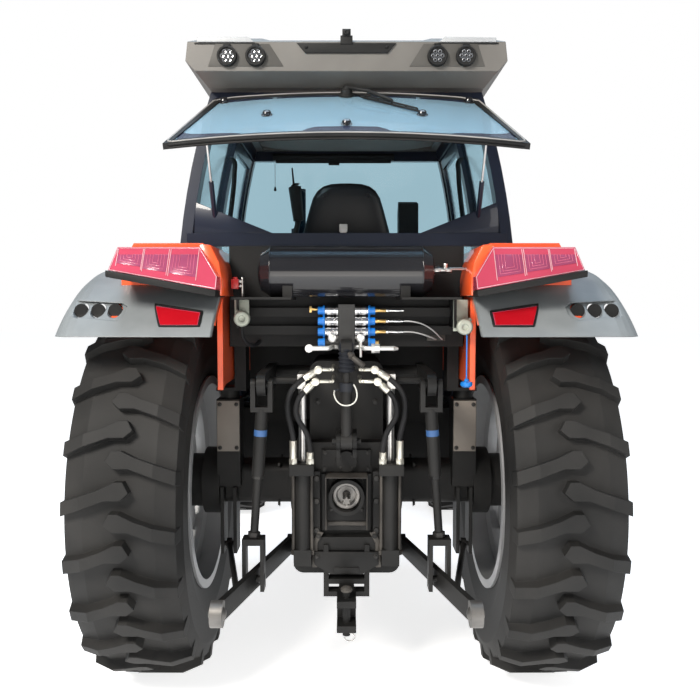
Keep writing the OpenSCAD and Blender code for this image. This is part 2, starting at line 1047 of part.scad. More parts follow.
module cab_floor() {
    floor_half = side_x(floor_z - floor_t) - cab_wall - fit_gap;
    color([0.07, 0.07, 0.07])
    union() {
        difference() {
            block(-tub_w, tub_w, -cab_rear, tub_front, tub_low, fender_top - fit_gap);
            block(-tub_w + tub_wall, tub_w - tub_wall, -cab_rear + tub_wall, tub_front + tub_wall,
                tub_low + tub_wall, fender_top + tub_wall);
        }
        block(-tub_w, tub_w, tub_front - tub_wall, tub_front, floor_z - floor_t, tub_low + tub_wall);
        both() {
            block(tub_w - foot_w, tub_w, post_rear, post_rear + post_len, foot_z, tub_low);
            block(tub_w - foot_w, post_x + post_w, post_rear, post_rear + post_len, foot_z, foot_z + foot_t);
        }
        difference() {
            block(-floor_half, floor_half, tub_front - tub_wall, cab_front,
                floor_z - floor_t, floor_z);
            both()
            drum_x(tub_w + fit_gap, cab_half_w, 0, rear_r, arch_r + fender_t + fit_gap);
        }
        block(-hood_half_w, hood_half_w, cab_front - tub_wall, cab_front, floor_z - floor_t, cowl_z);
    }
}

// The cab's side as seen from the side, with its openings left out
module cab_outline() {
    polygon([
        [-cab_rear, fender_top], [-c_top, roof_z], [a_top, roof_z], [cab_front, a_knee_z],
        [cab_front, floor_z - floor_t], [b_y - b_w, floor_z - floor_t], [b_y - b_w, fender_top]
    ]);
}

module quarter_outline() {
    lean = (cab_rear - c_top) / (roof_z - fender_top);
    polygon([
        [-cab_rear + c_w + (sill_z - fender_top) * lean, sill_z],
        [-c_top + c_w - rail_h * lean, roof_z - rail_h],
        [b_y - b_w, roof_z - rail_h], [b_y - b_w, sill_z]
    ]);
}

module door_outline() {
    lean = (cab_front - a_top) / (roof_z - a_knee_z);
    difference() {
        polygon([
            [b_y, roof_z - rail_h], [a_top - a_w + rail_h * lean, roof_z - rail_h],
            [cab_front - a_w, a_knee_z], [cab_front - a_w, floor_z + door_sill_h / 2], [b_y, floor_z + door_sill_h / 2]
        ]);
        translate([0, rear_r])
        circle(arch_r + fender_t + run_gap * 2 + arch_trim);
    }
}

module side_slab(in, t) {
    rear_prism(-cab_rear, cab_front)
    polygon(concat(side_line(in, floor_z - floor_t, roof_z), flipped(side_line(in + t, floor_z - floor_t, roof_z))));
}

module cab_side() {
    difference() {
        intersection() {
            side_slab(0, cab_wall);
            side_prism(cab_half_w - cab_lean - cab_wall * 2, cab_half_w)
            difference() {
                cab_outline();
                quarter_outline();
                door_outline();
                translate([0, rear_r])
                circle(arch_r + fender_t + run_gap * 2);
            }
        }
    }
    for (z = hinge_zs)
        hinge_leaf(z, 0, cab_front - a_w, cab_front - a_w + hinge_reach);
}

hinge_x = cab_half_w + hinge_r + hinge_gap;
hinge_at = cab_front - a_w - door_gap / 2;

module hinge_leaf(z, up, y0, y1) {
    drum_z(z + up, z + up + hinge_len, hinge_x, hinge_at, hinge_r);
    block(hinge_x - hinge_t / 2, hinge_x + hinge_t / 2, min(hinge_at, y1), max(hinge_at, y1), z + up, z + up + hinge_len);
    block(side_x(z) - cab_wall / 3, hinge_x + hinge_t / 2, min(y0 + hinge_r, y1), max(y0 - hinge_r, y1), z + up,
        z + up + hinge_len);
}

module cab_frame() {
    rear_top = side_x(roof_z);
    rear_low = side_x(sill_z);
    color([0.05, 0.05, 0.05])
    union() {
        both()
        cab_side();
        block(-rear_low + cab_wall / 2, rear_low - cab_wall / 2, -cab_rear, -cab_rear + cab_wall, fender_top, sill_z);
        block(-rear_top + cab_wall / 2, rear_top - cab_wall / 2, -c_top, -c_top + cab_wall, roof_z - rail_h, roof_z);
        block(-rear_top + cab_wall / 2, rear_top - cab_wall / 2, a_top - cab_wall, a_top, roof_z - rail_h, roof_z);
        block(-side_x(cowl_z) + cab_wall / 2, side_x(cowl_z) - cab_wall / 2, cab_front - cab_wall, cab_front,
            cowl_z + fit_gap, cowl_z + cowl_h);
        both()
        block(hood_half_w + fit_gap, side_x(floor_z) - cab_wall / 2, cab_front - cab_wall, cab_front,
            floor_z + fit_gap, cowl_z + cowl_h);
        both()
        difference() {
            for (x = [hinge_ear_x - hinge_ear, hinge_ear_x + hinge_ear])
                block(x - hinge_ear_t / 2, x + hinge_ear_t / 2, hinge_y - hinge_ear / 2, -c_top + cab_wall,
                    hinge_z - hinge_ear / 2, roof_z - rail_h / 2);
            drum_x(hinge_ear_x - hinge_ear * 2, hinge_ear_x + hinge_ear * 2, hinge_y, hinge_z, hinge_pin_r + slip);
        }
        both()
        drum_x(strut_x - strut_eye_w / 2, side_x(strut_low_z) - cab_wall / 2, strut_low_y, strut_low_z, strut_pin_r);
        both()
        block(strut_x + strut_eye_w, side_x(strut_low_z) - cab_wall / 2, strut_low_y - strut_eye_r,
            strut_low_y + strut_eye_r, strut_low_z - strut_eye_r, strut_low_z + strut_eye_r);
    }
}

module fixed_glass() {
    color([0.25, 0.45, 0.4, 0.4])
    union() {
        both()
        intersection() {
            side_slab(glass_in, glass_t);
            side_prism(cab_half_w - cab_lean - cab_wall * 2, cab_half_w)
            offset(delta = -fit_gap)
            quarter_outline();
        }
        windscreen();
    }
}

module windscreen() {
    lean = (cab_front - a_top) / (roof_z - a_knee_z);
    low = cowl_z + cowl_h + fit_gap;
    high = roof_z - rail_h - fit_gap;
    intersection() {
        side_prism(-cab_half_w, cab_half_w)
        polygon([
            [cab_front - glass_t - glass_in, low], [cab_front - glass_in, low],
            [cab_front - glass_in, a_knee_z], [a_top + lean * rail_h - glass_in, high],
            [a_top + lean * rail_h - glass_in - glass_t, high], [cab_front - glass_t - glass_in, a_knee_z]
        ]);
        rear_prism(a_top - cab_wall * 2, cab_front)
        polygon(concat(
            side_line(cab_wall + fit_gap * 5, low, high),
            flipped([for (p = side_line(cab_wall + fit_gap * 5, low, high)) [-p[0], p[1]]])
        ));
    }
}

module door_right() {
    color([0.06, 0.06, 0.06])
    union() {
        intersection() {
            side_slab(door_in, door_t);
            side_prism(0, cab_half_w)
            difference() {
                offset(delta = -door_gap)
                door_outline();
                offset(delta = -door_gap - door_frame)
                door_outline();
            }
        }
        for (z = hinge_zs)
            hinge_leaf(z, hinge_len + slip, cab_front - a_w - door_gap - hinge_reach,
                cab_front - a_w - door_gap - hinge_r * 2);
    }
}

module door_left() {
    mirror([1, 0, 0])
    door_right();
}

module door_glass_right() {
    color([0.25, 0.45, 0.4, 0.4])
    intersection() {
        side_slab(door_in + door_t / 2, glass_t);
        side_prism(0, cab_half_w)
        offset(delta = -door_gap - door_frame - fit_gap * 2)
        door_outline();
    }
}

module door_glass_left() {
    mirror([1, 0, 0])
    door_glass_right();
}

module roof_section() {
    low = roof_z;
    belly = roof_z + roof_belly;
    top = roof_top - roof_crown;
    polygon([
        [-roof_foot_w, low], [roof_foot_w, low], [roof_half_w, belly], [roof_half_w - pod_slope / 4, roof_top - pod_slope],
        [roof_half_w - pod_slope * 2, roof_top], [pod_in + pod_slope, roof_top], [pod_in, top],
        [-pod_in, top], [-pod_in - pod_slope, roof_top], [-roof_half_w + pod_slope * 2, roof_top],
        [-roof_half_w + pod_slope / 4, roof_top - pod_slope], [-roof_half_w, belly]
    ]);
}

module roof_outline() {
    polygon([
        [-c_top - roof_round, roof_z], [roof_front - roof_nose, roof_z], [roof_front, roof_z + roof_belly],
        [roof_front - roof_nose, roof_top - pod_slope], [roof_front - roof_nose * 3, roof_top],
        [-roof_rear + roof_nose, roof_top], [-roof_rear, roof_top - roof_nose / 2], [-roof_rear, roof_z + roof_belly / 2]
    ]);
}

module cab_roof() {
    color([0.55, 0.55, 0.55])
    difference() {
        intersection() {
            rear_prism(-roof_rear, roof_front)
            roof_section();
            side_prism(-roof_half_w, roof_half_w)
            roof_outline();
        }
        block(-roof_foot_w + lining_edge, roof_foot_w - lining_edge, -c_top + lining_edge, a_top - lining_edge,
            roof_z - lining, roof_z + lining);
        both()
        for (x = lamp_xs)
            drum_y(-roof_rear - lamp_t, -roof_rear + lamp_sink, x, lamp_z, lamp_r + fit_gap);
    }
}

module roof_lamps() {
    color([0.85, 0.85, 0.8])
    both()
    for (x = lamp_xs)
        drum_y(-roof_rear - lamp_t / 3, -roof_rear + lamp_sink, x, lamp_z, lamp_r);
}

// Draws in the rear window's own plane: x across, y down from the hinge, z out from the cab
module window_placed() {
    translate([0, hinge_y, hinge_z])
    rotate([window_open, 0, 0])
    mirror([0, 1, 0])
    children();
}

module window_plate(in, low, high) {
    radius = (pow(window_low_w, 2) + pow(window_sag, 2)) / (window_sag * 2);
    intersection() {
        translate([0, 0, -window_sag * 2])
        linear_extrude(window_sag * 4)
        polygon([
            [-window_top_w + in, window_drop + in], [window_top_w - in, window_drop + in],
            [window_low_w - in, window_len - in], [-window_low_w + in, window_len - in]
        ]);
        translate([0, 0, window_sag - radius])
        rotate([-90, 0, 0])
        difference() {
            cylinder(h = window_len, r = radius + high, $fn = fine);
            translate([0, 0, -window_len])
            cylinder(h = window_len * 3, r = radius + low, $fn = fine);
        }
    }
}

module rear_window_seal() {
    color([0.04, 0.04, 0.04])
    window_placed()
    union() {
        difference() {
            window_plate(0, 0, seal_t);
            window_plate_hole();
        }
        for (x = [-hinge_ear_x, hinge_ear_x])
            drum_x(x - hinge_ear - hinge_ear_t, x + hinge_ear + hinge_ear_t, 0, 0, hinge_pin_r);
        for (x = [-hinge_ear_x, hinge_ear_x])
            block(x - hinge_ear_t, x + hinge_ear_t, 0, window_drop + seal_w, -hinge_pin_r / 2, window_sag);
        both() {
            block(strut_x + strut_eye_w * 2, strut_x + strut_eye_w * 2 + strut_post, strut_on - strut_post,
                strut_on + strut_post, -strut_off - strut_pin_r, window_sag / 2);
            drum_x(strut_x + strut_eye_w / 2 + slip * 2, strut_x + strut_eye_w * 3, strut_on, -strut_off, strut_pin_r);
        }
    }
}

module window_plate_hole() {
    linear_extrude(window_sag * 8, center = true)
    polygon([
        [-window_top_w + seal_w, window_drop + seal_w], [window_top_w - seal_w, window_drop + seal_w],
        [window_low_w - seal_w, window_len - seal_w], [-window_low_w + seal_w, window_len - seal_w]
    ]);
}

module rear_window_glass() {
    color([0.25, 0.45, 0.4, 0.4])
    window_placed()
    window_plate(seal_w + fit_gap, seal_t / 2, seal_t / 2 + glass_t);
}

function window_point(along, off) = [
    hinge_y - along * cos(window_open) - off * sin(window_open),
    hinge_z - along * sin(window_open) + off * cos(window_open)
];
strut_top = window_point(strut_on, -strut_off);
strut_low = [strut_low_y, strut_low_z];
strut_split = strut_low + (strut_top - strut_low) * strut_body_share;
strut_start = strut_low + (strut_top - strut_low) * strut_rod_share;
strut_floor = strut_low + (strut_top - strut_low) * strut_eye_r * 3 / 2 / norm(strut_top - strut_low);

module strut_barrels() {
    color([0.05, 0.05, 0.05])
    both()
    difference() {
        union() {
            rod([strut_x, strut_low[0], strut_low[1]], [strut_x, strut_split[0], strut_split[1]], strut_r);
            drum_x(strut_x - strut_eye_w / 2, strut_x + strut_eye_w / 2, strut_low[0], strut_low[1], strut_eye_r);
        }
        rod([strut_x, strut_floor[0], strut_floor[1]], [strut_x, strut_top[0], strut_top[1]], strut_rod_r + slip);
        drum_x(strut_x - strut_eye_w, strut_x + strut_eye_w, strut_low[0], strut_low[1], strut_pin_r + slip);
    }
}

module strut_rods() {
    color([0.5, 0.5, 0.5])
    both()
    union() {
        rod([strut_x, strut_start[0], strut_start[1]], [strut_x, strut_top[0], strut_top[1]], strut_rod_r);
        drum_x(strut_x - strut_eye_w / 2, strut_x + strut_eye_w / 2, strut_top[0], strut_top[1], strut_eye_r);
    }
}

module arch_band(r0, r1, deg0, deg1) {
    reach = r1 * 2;
    translate([0, rear_r])
    difference() {
        intersection() {
            circle(r1, $fn = few * 4);
            polygon([
                [0, 0], [reach * cos(deg1), reach * sin(deg1)], [reach * cos((deg0 + deg1) / 2), reach],
                [reach * cos(deg0), reach * sin(deg0)]
            ]);
        }
        circle(r0, $fn = few * 4);
    }
}

// A fender's raised box as seen from behind, with both upper corners cut off
module fender_box(in) {
    cut = in * bevel_share;
    polygon([
        [fender_in + in, rear_r], [fender_in + in, chamfer_z - cut], [chamfer_in + cut, fender_top - in],
        [chamfer_out - cut, fender_top - in], [fender_mid - in, chamfer_out_z - cut], [fender_mid - in, rear_r]
    ]);
}

module fenders() {
    top_r = arch_r + fender_t;
    color([0.72, 0.16, 0.07])
    both()
    union() {
        side_prism(fender_in, fender_mid)
        arch_band(arch_r, top_r, fender_rear_deg, fender_front_deg);
        side_prism(fender_in, fender_in + fender_t)
        difference() {
            polygon([
                [-cab_rear - case_round * 2, inner_low], [-top_rear, rear_r + arch_r / 2],
                [-top_rear, chamfer_z - fender_t], [b_y - b_w - fit_gap, chamfer_z - fender_t],
                [b_y - b_w - fit_gap, inner_low]
            ]);
            translate([case_round * 2, rear_r])
            circle(arch_r / 2);
        }
        difference() {
            rear_prism(-top_rear, top_front)
            fender_box(0);
            rear_prism(-top_rear + fender_t, top_front - fender_t)
            fender_box(fender_t);
            drum_x(fender_in - fender_t, fender_mid * 2, 0, rear_r, arch_r + fender_t / 2);
        }
    }
}

// A skin's rounded outer edge as points of radius and of distance from the middle
function skin_edge(in) =
    [for (i = [0 : edge_steps]) let (a = 90 * i / edge_steps)
        [skin_r - edge_drop + (edge_drop - in) * cos(a), fender_reach - edge_w + (edge_w - in) * sin(a)]];

// A sheet that lies on the skins, cut out along an outline seen from behind
module on_skin(low, high) {
    intersection() {
        rear_prism(-skin_r * 2, 0)
        children();
        difference() {
            drum_x(fender_in, fender_reach * 2, 0, rear_r, high, $fn = fine);
            drum_x(0, fender_reach * 3, 0, rear_r, low, $fn = fine);
        }
    }
}

module fender_skins() {
    color([0.3, 0.3, 0.3])
    both()
    difference() {
        translate([0, 0, rear_r])
        rotate([0, 90, 0])
        rotate(skin_front_deg + 90)
        rotate_extrude(angle = skin_rear_deg - skin_front_deg, $fn = fine)
        polygon(concat(
            [[skin_r - skin_t, fender_in], [skin_r, fender_in]], skin_edge(0), flipped(skin_edge(skin_t))
        ));
        block(0, fender_mid + fit_gap, -top_rear - fit_gap, arch_r * 2, 0, arch_r * 3);
        block(0, fender_reach * 2, -skin_r * 2, 0, 0, skin_low);
        on_skin(skin_r - recess_d, skin_r * 2)
        polygon([
            [recess_in, recess_low + recess_cut], [recess_in + recess_cut, recess_low],
            [recess_out, recess_low + recess_cut], [recess_out, recess_high],
            [recess_in + recess_cut, recess_high - recess_cut / 2], [recess_in, recess_high - recess_cut]
        ]);
        for (x = slot_ins)
            translate([fender_reach - x, 0, slot_z])
            rotate([90, 0, 0])
            cylinder(h = skin_r, r = slot_r);
    }
}

module rear_lights() {
    color([0.75, 0.1, 0.08])
    both() {
        difference() {
            intersection() {
                rear_prism(-light_rear, -top_rear - fit_gap)
                polygon([
                    [light_in, light_low_in], [light_out, light_low_out], [light_top_out, light_top],
                    [light_top_in, light_top], [light_in, light_mid_in]
                ]);
                side_prism(light_in, light_out)
                polygon([
                    [-light_rear, light_low_in], [-light_rear + light_slope, light_top], [-top_rear, light_top],
                    [-top_rear, light_low_in]
                ]);
            }
            drum_x(light_in - fender_t, light_out + fender_t, 0, rear_r, skin_r + fit_gap);
        }
        on_skin(skin_r + fit_gap, skin_r + mark_t)
        polygon([
            [mark_in, mark_low], [mark_in, mark_high_in], [mark_out, mark_high_out], [mark_low_out, mark_low]
        ]);
    }
}

module air_tank() {
    half = tank_len / 2;
    color([0.05, 0.05, 0.05])
    translate([-half, tank_y, tank_z])
    rotate([0, 90, 0])
    rotate_extrude()
    polygon([
        [0, 0], [tank_d / 4, tank_dome / 6], [tank_d / 2 - tank_d / 8, tank_dome / 3], [tank_d / 2, tank_dome],
        [tank_d / 2, tank_len - tank_dome], [tank_d / 2 - tank_d / 8, tank_len - tank_dome / 3],
        [tank_d / 4, tank_len - tank_dome / 6], [0, tank_len]
    ]);
}

module rear_shelf() {
    color([0.06, 0.06, 0.06])
    both()
    difference() {
        union() {
            block(shelf_in, shelf_out, tank_y - shelf_len / 2, -cab_rear - fit_gap, shelf_z, shelf_z + shelf_t);
            block(shelf_in, shelf_in + saddle_t, tank_y - shelf_len / 3, tank_y + shelf_len / 3, shelf_z, shelf_z + saddle_h);
            block(shelf_out - shelf_t, shelf_out, tank_y, -cab_rear - fit_gap, shelf_z - saddle_h * 2, shelf_z);
            for (z = beam_zs)
                block(0, beam_half, -cab_rear - beam_d, -cab_rear - fit_gap, z, z + beam_t);
        }
        drum_x(0, tank_len, tank_y, tank_z, tank_d / 2 + fit_gap);
    }
}

module remote_valves() {
    face = valve_w / 2;
    color([0.35, 0.35, 0.35])
    union() {
        block(-face, face, valve_y - valve_d / 2, -cab_rear - beam_d - fit_gap, valve_low, valve_high);
        both()
        for (z = coupler_zs) {
            drum_x(face - coupler_r, face + coupler_len / 2, valve_y, z, coupler_r);
            drum_x(face, face + coupler_len, valve_y, z, coupler_tip_r);
        }
    }
}

module coupler_caps() {
    face = valve_w / 2 + coupler_len + fit_gap;
    color([0.05, 0.3, 0.65])
    both()
    for (z = coupler_zs)
        union() {
            drum_x(face, face + cap_len, valve_y, z, cap_r);
            drum_x(face, face + cap_rim, valve_y, z, cap_rim_r);
        }
}

module hitch_frame() {
    rear = -case_rear - fit_gap;
    color([0.07, 0.07, 0.07])
    difference() {
        union() {
            block(-plate_w, plate_w, rear - plate_t, rear, plate_low, plate_high);
            drum_y(rear - plate_t - guard_len, rear, 0, pto_z, guard_r);
            both()
            block(rail_x, rail_x + rail_w, rear - rail_t, rear, rail_low, rail_top);
            block(-plate_w, plate_w, rear - cover_t, rear, cover_low, cover_high);
            drum_y(rear - cover_t * 2, rear, 0, (cover_low + cover_high) / 2, cover_r);
            both()
            block(top_ear_x - top_ear_t, top_ear_x, top_y, rear, top_z - top_ear_r * 2, top_z + top_ear_r);
            both()
            drum_x(top_ear_x - top_ear_t, top_ear_x, top_y, top_z, top_ear_r);
            block(-top_ear_x, top_ear_x, rear - top_ear_t, rear, cover_high - top_ear_r, top_z + top_ear_r);
            drum_x(-top_ear_x - top_ear_t, top_ear_x + top_ear_t, top_y, top_z, top_pin_r);
            block(-rail_x - rail_w, rail_x + rail_w, rear - rail_t, rear, rail_low - rail_w, rail_low + rail_w);
            both()
            block(hang_x - hang_w, hang_x, rear - hang_t, rear, bar_z - bar_h / 2, rail_low);
            block(-hang_x, hang_x, rear - hang_t, rear, bar_z - bar_h / 2 - hang_w, bar_z - bar_h / 2);
            block(-hang_x, hang_x, rear - hang_t, rear, bar_z + bar_h / 2, bar_z + bar_h / 2 + hang_w);
        }
        drum_y(rear - guard_len * 3, rear - plate_t / 2, 0, pto_z, guard_in);
        both()
        for (z = [rail_low + rail_w * 2, (rail_low + rail_top) / 2 + rail_w, rail_top - rail_w])
            drum_y(rear - rail_t * 2, rear - rail_t / 2, rail_x + rail_w / 2, z, hole_r);
    }
}

module pto_shaft() {
    root = -case_rear - plate_t / 2 - fit_gap * 2;
    color([0.6, 0.6, 0.6])
    difference() {
        drum_y(root - pto_len, root, 0, pto_z, pto_r);
        for (i = [0 : splines - 1])
            translate([0, root - pto_len / 3, pto_z])
            rotate([90, 360 * i / splines, 0])
            translate([pto_r - spline_d, -spline_w / 2, 0])
            cube([spline_d * 2, spline_w, pto_len]);
    }
}

module drawbar() {
    jaw = (clevis_gap + clevis_t) / 2;
    color([0.07, 0.07, 0.07])
    union() {
        block(-bar_w / 2, bar_w / 2, -bar_rear, bar_front, bar_z - bar_h / 2 + fit_gap, bar_z + bar_h / 2 - fit_gap);
        block(-bar_w / 3, bar_w / 3, bar_front - bar_w, bar_front, bar_z, case_low - fit_gap);
        for (s = [-1, 1])
            block(-clevis_w / 2, clevis_w / 2, -bar_rear - clevis_len, -bar_rear + clevis_t,
                bar_z + s * jaw - clevis_t / 2 + jaw, bar_z + s * jaw + clevis_t / 2 + jaw);
        block(-clevis_w / 2, clevis_w / 2, -bar_rear, -bar_rear + clevis_t, bar_z, bar_z + jaw * 2);
        drum_z(bar_z - clevis_pin_over, bar_z + jaw * 2 + clevis_pin_over, 0, -bar_rear - clevis_len / 2, clevis_pin_r);
    }
}

module top_link() {
    high = top_z + top_len;
    mid = top_z + top_len * top_tube_share;
    color([0.1, 0.1, 0.1])
    difference() {
        union() {
            drum_z(top_z, mid, 0, top_y, top_tube_r);
            drum_z(mid, high, 0, top_y, top_rod_r);
            drum_x(-top_ear_x + top_ear_t + slip * 3, top_ear_x - top_ear_t - slip * 3, top_y, top_z, top_eye_r);
            drum_x(-top_eye_w / 2, top_eye_w / 2, top_y, high, top_eye_r);
        }
        drum_x(-top_ear_x, top_ear_x, top_y, top_z, top_pin_r + slip);
        drum_x(-top_eye_w, top_eye_w, top_y, high, ball_bore_r);
    }
}

arm_tip_y = arm_shaft_y - arm_len;
arm_in = arm_x - arm_plate / 2;
arm_out = arm_x + arm_plate / 2;

module lift_arms() {
    color([0.07, 0.07, 0.07])
    union() {
        drum_x(-arm_out, arm_out, arm_shaft_y, arm_z, shaft_r);
        both()
        difference() {
            union() {
                side_prism(arm_in, arm_out)
                polygon([
                    [arm_shaft_y + arm_h / 2, arm_z - arm_h / 2], [arm_shaft_y + arm_h / 2, arm_z + arm_h / 2],
                    [arm_tip_y, arm_z + arm_tip_r], [arm_tip_y, arm_z - arm_tip_r]
                ]);
                drum_x(arm_in, arm_out, arm_tip_y, arm_z, arm_tip_r);
                drum_x(cyl_pin_end, arm_out, cyl_y, arm_z, cyl_pin_r);
            }
            drum_x(arm_in - arm_plate, arm_out + arm_plate, arm_tip_y, arm_z, arm_pin_r + slip);
        }
    }
}

lift_x = link_front_x + (link_ball_x - link_front_x) * arm_len / link_len;

module lift_rods() {
    fork_in = arm_in - rod_fork_gap - rod_fork;
    fork_out = arm_out + rod_fork_gap + rod_fork;
    fork_low = arm_z - arm_tip_r * 2;
    bridge = link_z + yoke_high;
    color([0.07, 0.07, 0.07])
    both()
    union() {
        for (x = [fork_in, fork_out - rod_fork]) {
            block(x, x + rod_fork, arm_tip_y - arm_tip_r / 2, arm_tip_y + arm_tip_r / 2, fork_low, arm_z);
            drum_x(x, x + rod_fork, arm_tip_y, arm_z, arm_tip_r / 2);
        }
        drum_x(fork_in, fork_out, arm_tip_y, arm_z, arm_pin_r);
        block(fork_in, fork_out, arm_tip_y - arm_tip_r / 2, arm_tip_y + arm_tip_r / 2, fork_low - rod_fork, fork_low);
        rod([arm_x, arm_tip_y, fork_low - rod_fork / 2], [lift_x, arm_tip_y, bridge + yoke_bridge / 2], rod_r);
        rod([arm_x, arm_tip_y, fork_low - rod_fork / 2],
            [arm_x + (lift_x - arm_x) * rod_sleeve_share, arm_tip_y,
            fork_low + (bridge - fork_low) * rod_sleeve_share], rod_sleeve_r);
        block(lift_x - yoke_gap - yoke_t, lift_x + yoke_gap + yoke_t, arm_tip_y - yoke_len / 2, arm_tip_y + yoke_len / 2,
            bridge, bridge + yoke_bridge);
        for (s = [-1, 1])
            block(lift_x + s * (yoke_gap + yoke_t / 2) - yoke_t / 2, lift_x + s * (yoke_gap + yoke_t / 2) + yoke_t / 2,
                arm_tip_y - yoke_len / 2, arm_tip_y + yoke_len / 2, link_z - yoke_low, bridge);
        drum_x(lift_x - yoke_gap - yoke_t, lift_x + yoke_gap + yoke_t, arm_tip_y, link_z, yoke_pin_r);
    }
}

ball_y = arm_shaft_y - link_len;

module lower_links() {
    slant = atan2(link_ball_x - link_front_x, link_len);
    stay_y = arm_shaft_y - link_len * stay_end_share;
    stay_end_x = link_front_x + (link_ball_x - link_front_x) * stay_end_share;
    bar_len = norm([link_ball_x - link_front_x, link_len]);
    color([0.07, 0.07, 0.07])
    both()
    difference() {
        union() {
            translate([link_front_x, arm_shaft_y, link_z])
            rotate(slant)
            block(-link_bar / 2, link_bar / 2, -bar_len, 0, -link_h / 2, link_h / 2);
            drum_x(link_front_x - link_eye_w / 2, link_front_x + link_eye_w / 2, arm_shaft_y, link_z, link_eye_r);
            drum_x(link_ball_x - ball_w / 2, link_ball_x + ball_w / 2, ball_y, link_z, ball_r);
            rod([stay_x, arm_shaft_y, link_z], [stay_end_x, stay_y, link_z], stay_r);
            drum_x(stay_x - stay_eye_w / 2, stay_x + stay_eye_w / 2, arm_shaft_y, link_z, stay_eye_r);
        }
        drum_x(link_front_x - link_eye_w, link_front_x + link_eye_w, arm_shaft_y, link_z, link_pin_r + slip);
        drum_x(link_ball_x - ball_w, link_ball_x + ball_w, ball_y, link_z, ball_bore_r);
        drum_x(lift_x - yoke_gap, lift_x + yoke_gap, arm_tip_y, link_z, yoke_pin_r + slip);
        drum_x(stay_x - stay_eye_w, stay_x + stay_eye_w, arm_shaft_y, link_z, stay_pin_r + slip);
    }
}

module lift_cylinders() {
    rear = -case_rear - fit_gap;
    color([0.06, 0.06, 0.06])
    both()
    difference() {
        union() {
            drum_z(cyl_low, cyl_high, cyl_x, cyl_y, cyl_r);
            block(cyl_x - cyl_head / 2, cyl_x + cyl_head / 2, cyl_y - cyl_r, cyl_y + cyl_r,
                cyl_high - cyl_head_h, cyl_high);
            block(cyl_x - cyl_foot_w / 2, cyl_x + cyl_foot_w / 2, cyl_y - cyl_r, rear, cyl_low - cyl_foot_h / 2,
                cyl_low + cyl_foot_h / 2);
        }
        drum_z(cyl_high - cyl_bore_len, cyl_high + cyl_head_h, cyl_x, cyl_y, cyl_rod_r + slip);
    }
}

module cylinder_rods() {
    color([0.6, 0.6, 0.6])
    both()
    difference() {
        union() {
            drum_z(cyl_high - cyl_bore_len / 2, arm_z - cyl_eye_h / 3, cyl_x, cyl_y, cyl_rod_r);
            side_prism(cyl_x - cyl_eye_w / 2, cyl_x + cyl_eye_w / 2)
            translate([cyl_y + cyl_slot_reach / 2, arm_z])
            square([cyl_slot_reach + cyl_eye_h * 2, cyl_eye_h], center = true);
        }
        side_prism(cyl_x - cyl_eye_w, cyl_x + cyl_eye_w)
        translate([cyl_y + cyl_slot_reach / 2, arm_z])
        square([cyl_slot_reach + cyl_pin_r * 2 + run_gap, cyl_pin_r * 2 + run_gap], center = true);
    }
}

module seat() {
    color([0.09, 0.09, 0.09])
    union() {
        block(-seat_base_w / 2, seat_base_w / 2, seat_y - seat_base_len, seat_y, tub_low + tub_wall, seat_z);
        translate([0, seat_y - seat_len / 2 + seat_back_t, seat_z])
        linear_extrude(seat_t)
        rounded(seat_w, seat_len, seat_round);
        side_prism(-seat_w / 2 + seat_round, seat_w / 2 - seat_round)
        polygon([
            [seat_y - seat_len + seat_back_t, seat_z], [seat_y - seat_len + seat_back_t * 2, seat_z],
            [seat_y - seat_len + seat_back_t * 2 - seat_back_lean, seat_back_top - seat_round],
            [seat_y - seat_len + seat_back_t * 2 - seat_back_lean - seat_round, seat_back_top],
            [seat_y - seat_len + seat_back_t - seat_back_lean + seat_round, seat_back_top],
            [seat_y - seat_len + seat_back_t - seat_back_lean, seat_back_top - seat_round]
        ]);
    }
}

module steering_column() {
    foot = cab_front - tub_wall - fit_gap;
    color([0.08, 0.08, 0.08])
    union() {
        block(-dash_w / 2, dash_w / 2, foot - dash_len, foot, floor_z, dash_top);
        translate([0, wheel_y, wheel_z])
        rotate([wheel_tilt, 0, 0])
        translate([0, 0, -column_len])
        cylinder(h = column_len - column_r / 2 - fit_gap, r = column_r);
    }
}

module steering_wheel() {
    color([0.05, 0.05, 0.05])
    translate([0, wheel_y, wheel_z])
    rotate([wheel_tilt, 0, 0])
    union() {
        rotate_extrude()
        translate([wheel_d / 2, 0])
        circle(wheel_rim_r, $fn = few);
        translate([0, 0, -column_r / 2])
        cylinder(h = column_r, r = wheel_hub_r);
        for (i = [0 : 2])
            rotate(90 + 120 * i)
            translate([0, -wheel_spoke / 2, -wheel_rim_r / 2])
            cube([wheel_d / 2, wheel_spoke, wheel_rim_r]);
    }
}

placed() rear_tyre_left();
placed() rear_tyre_right();
placed() rear_rim_left();
placed() rear_rim_right();
placed() front_tyre_left();
placed() front_tyre_right();
placed() front_rim_left();
placed() front_rim_right();
placed() gearbox_case();
placed() axle_trumpets();
placed() cab_mounts();
placed() engine_block();
placed() front_frame();
placed() front_weights();
placed() front_axle();
placed() knuckle_left();
placed() knuckle_right();
placed() tie_rod();
placed() hood();
placed() hood_grille();
placed() head_lamps();
placed() exhaust_stack();
placed() fuel_tank();
placed() battery_box();
placed() cab_steps();
placed() cab_floor();
placed() cab_frame();
placed() fixed_glass();
placed() door_left();
placed() door_right();
placed() door_glass_left();
placed() door_glass_right();
placed() cab_roof();
placed() roof_lamps();
placed() rear_window_seal();
placed() rear_window_glass();
placed() strut_barrels();
placed() strut_rods();
placed() fenders();
placed() fender_skins();
placed() rear_lights();
placed() air_tank();
placed() rear_shelf();
placed() remote_valves();
placed() coupler_caps();
placed() hitch_frame();
placed() pto_shaft();
placed() drawbar();
placed() top_link();
placed() lift_arms();
placed() lift_rods();
placed() lower_links();
placed() lift_cylinders();
placed() cylinder_rods();
placed() seat();
placed() steering_column();
placed() steering_wheel();
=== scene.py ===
import math

import bmesh
import bpy
from mathutils import Matrix, Vector


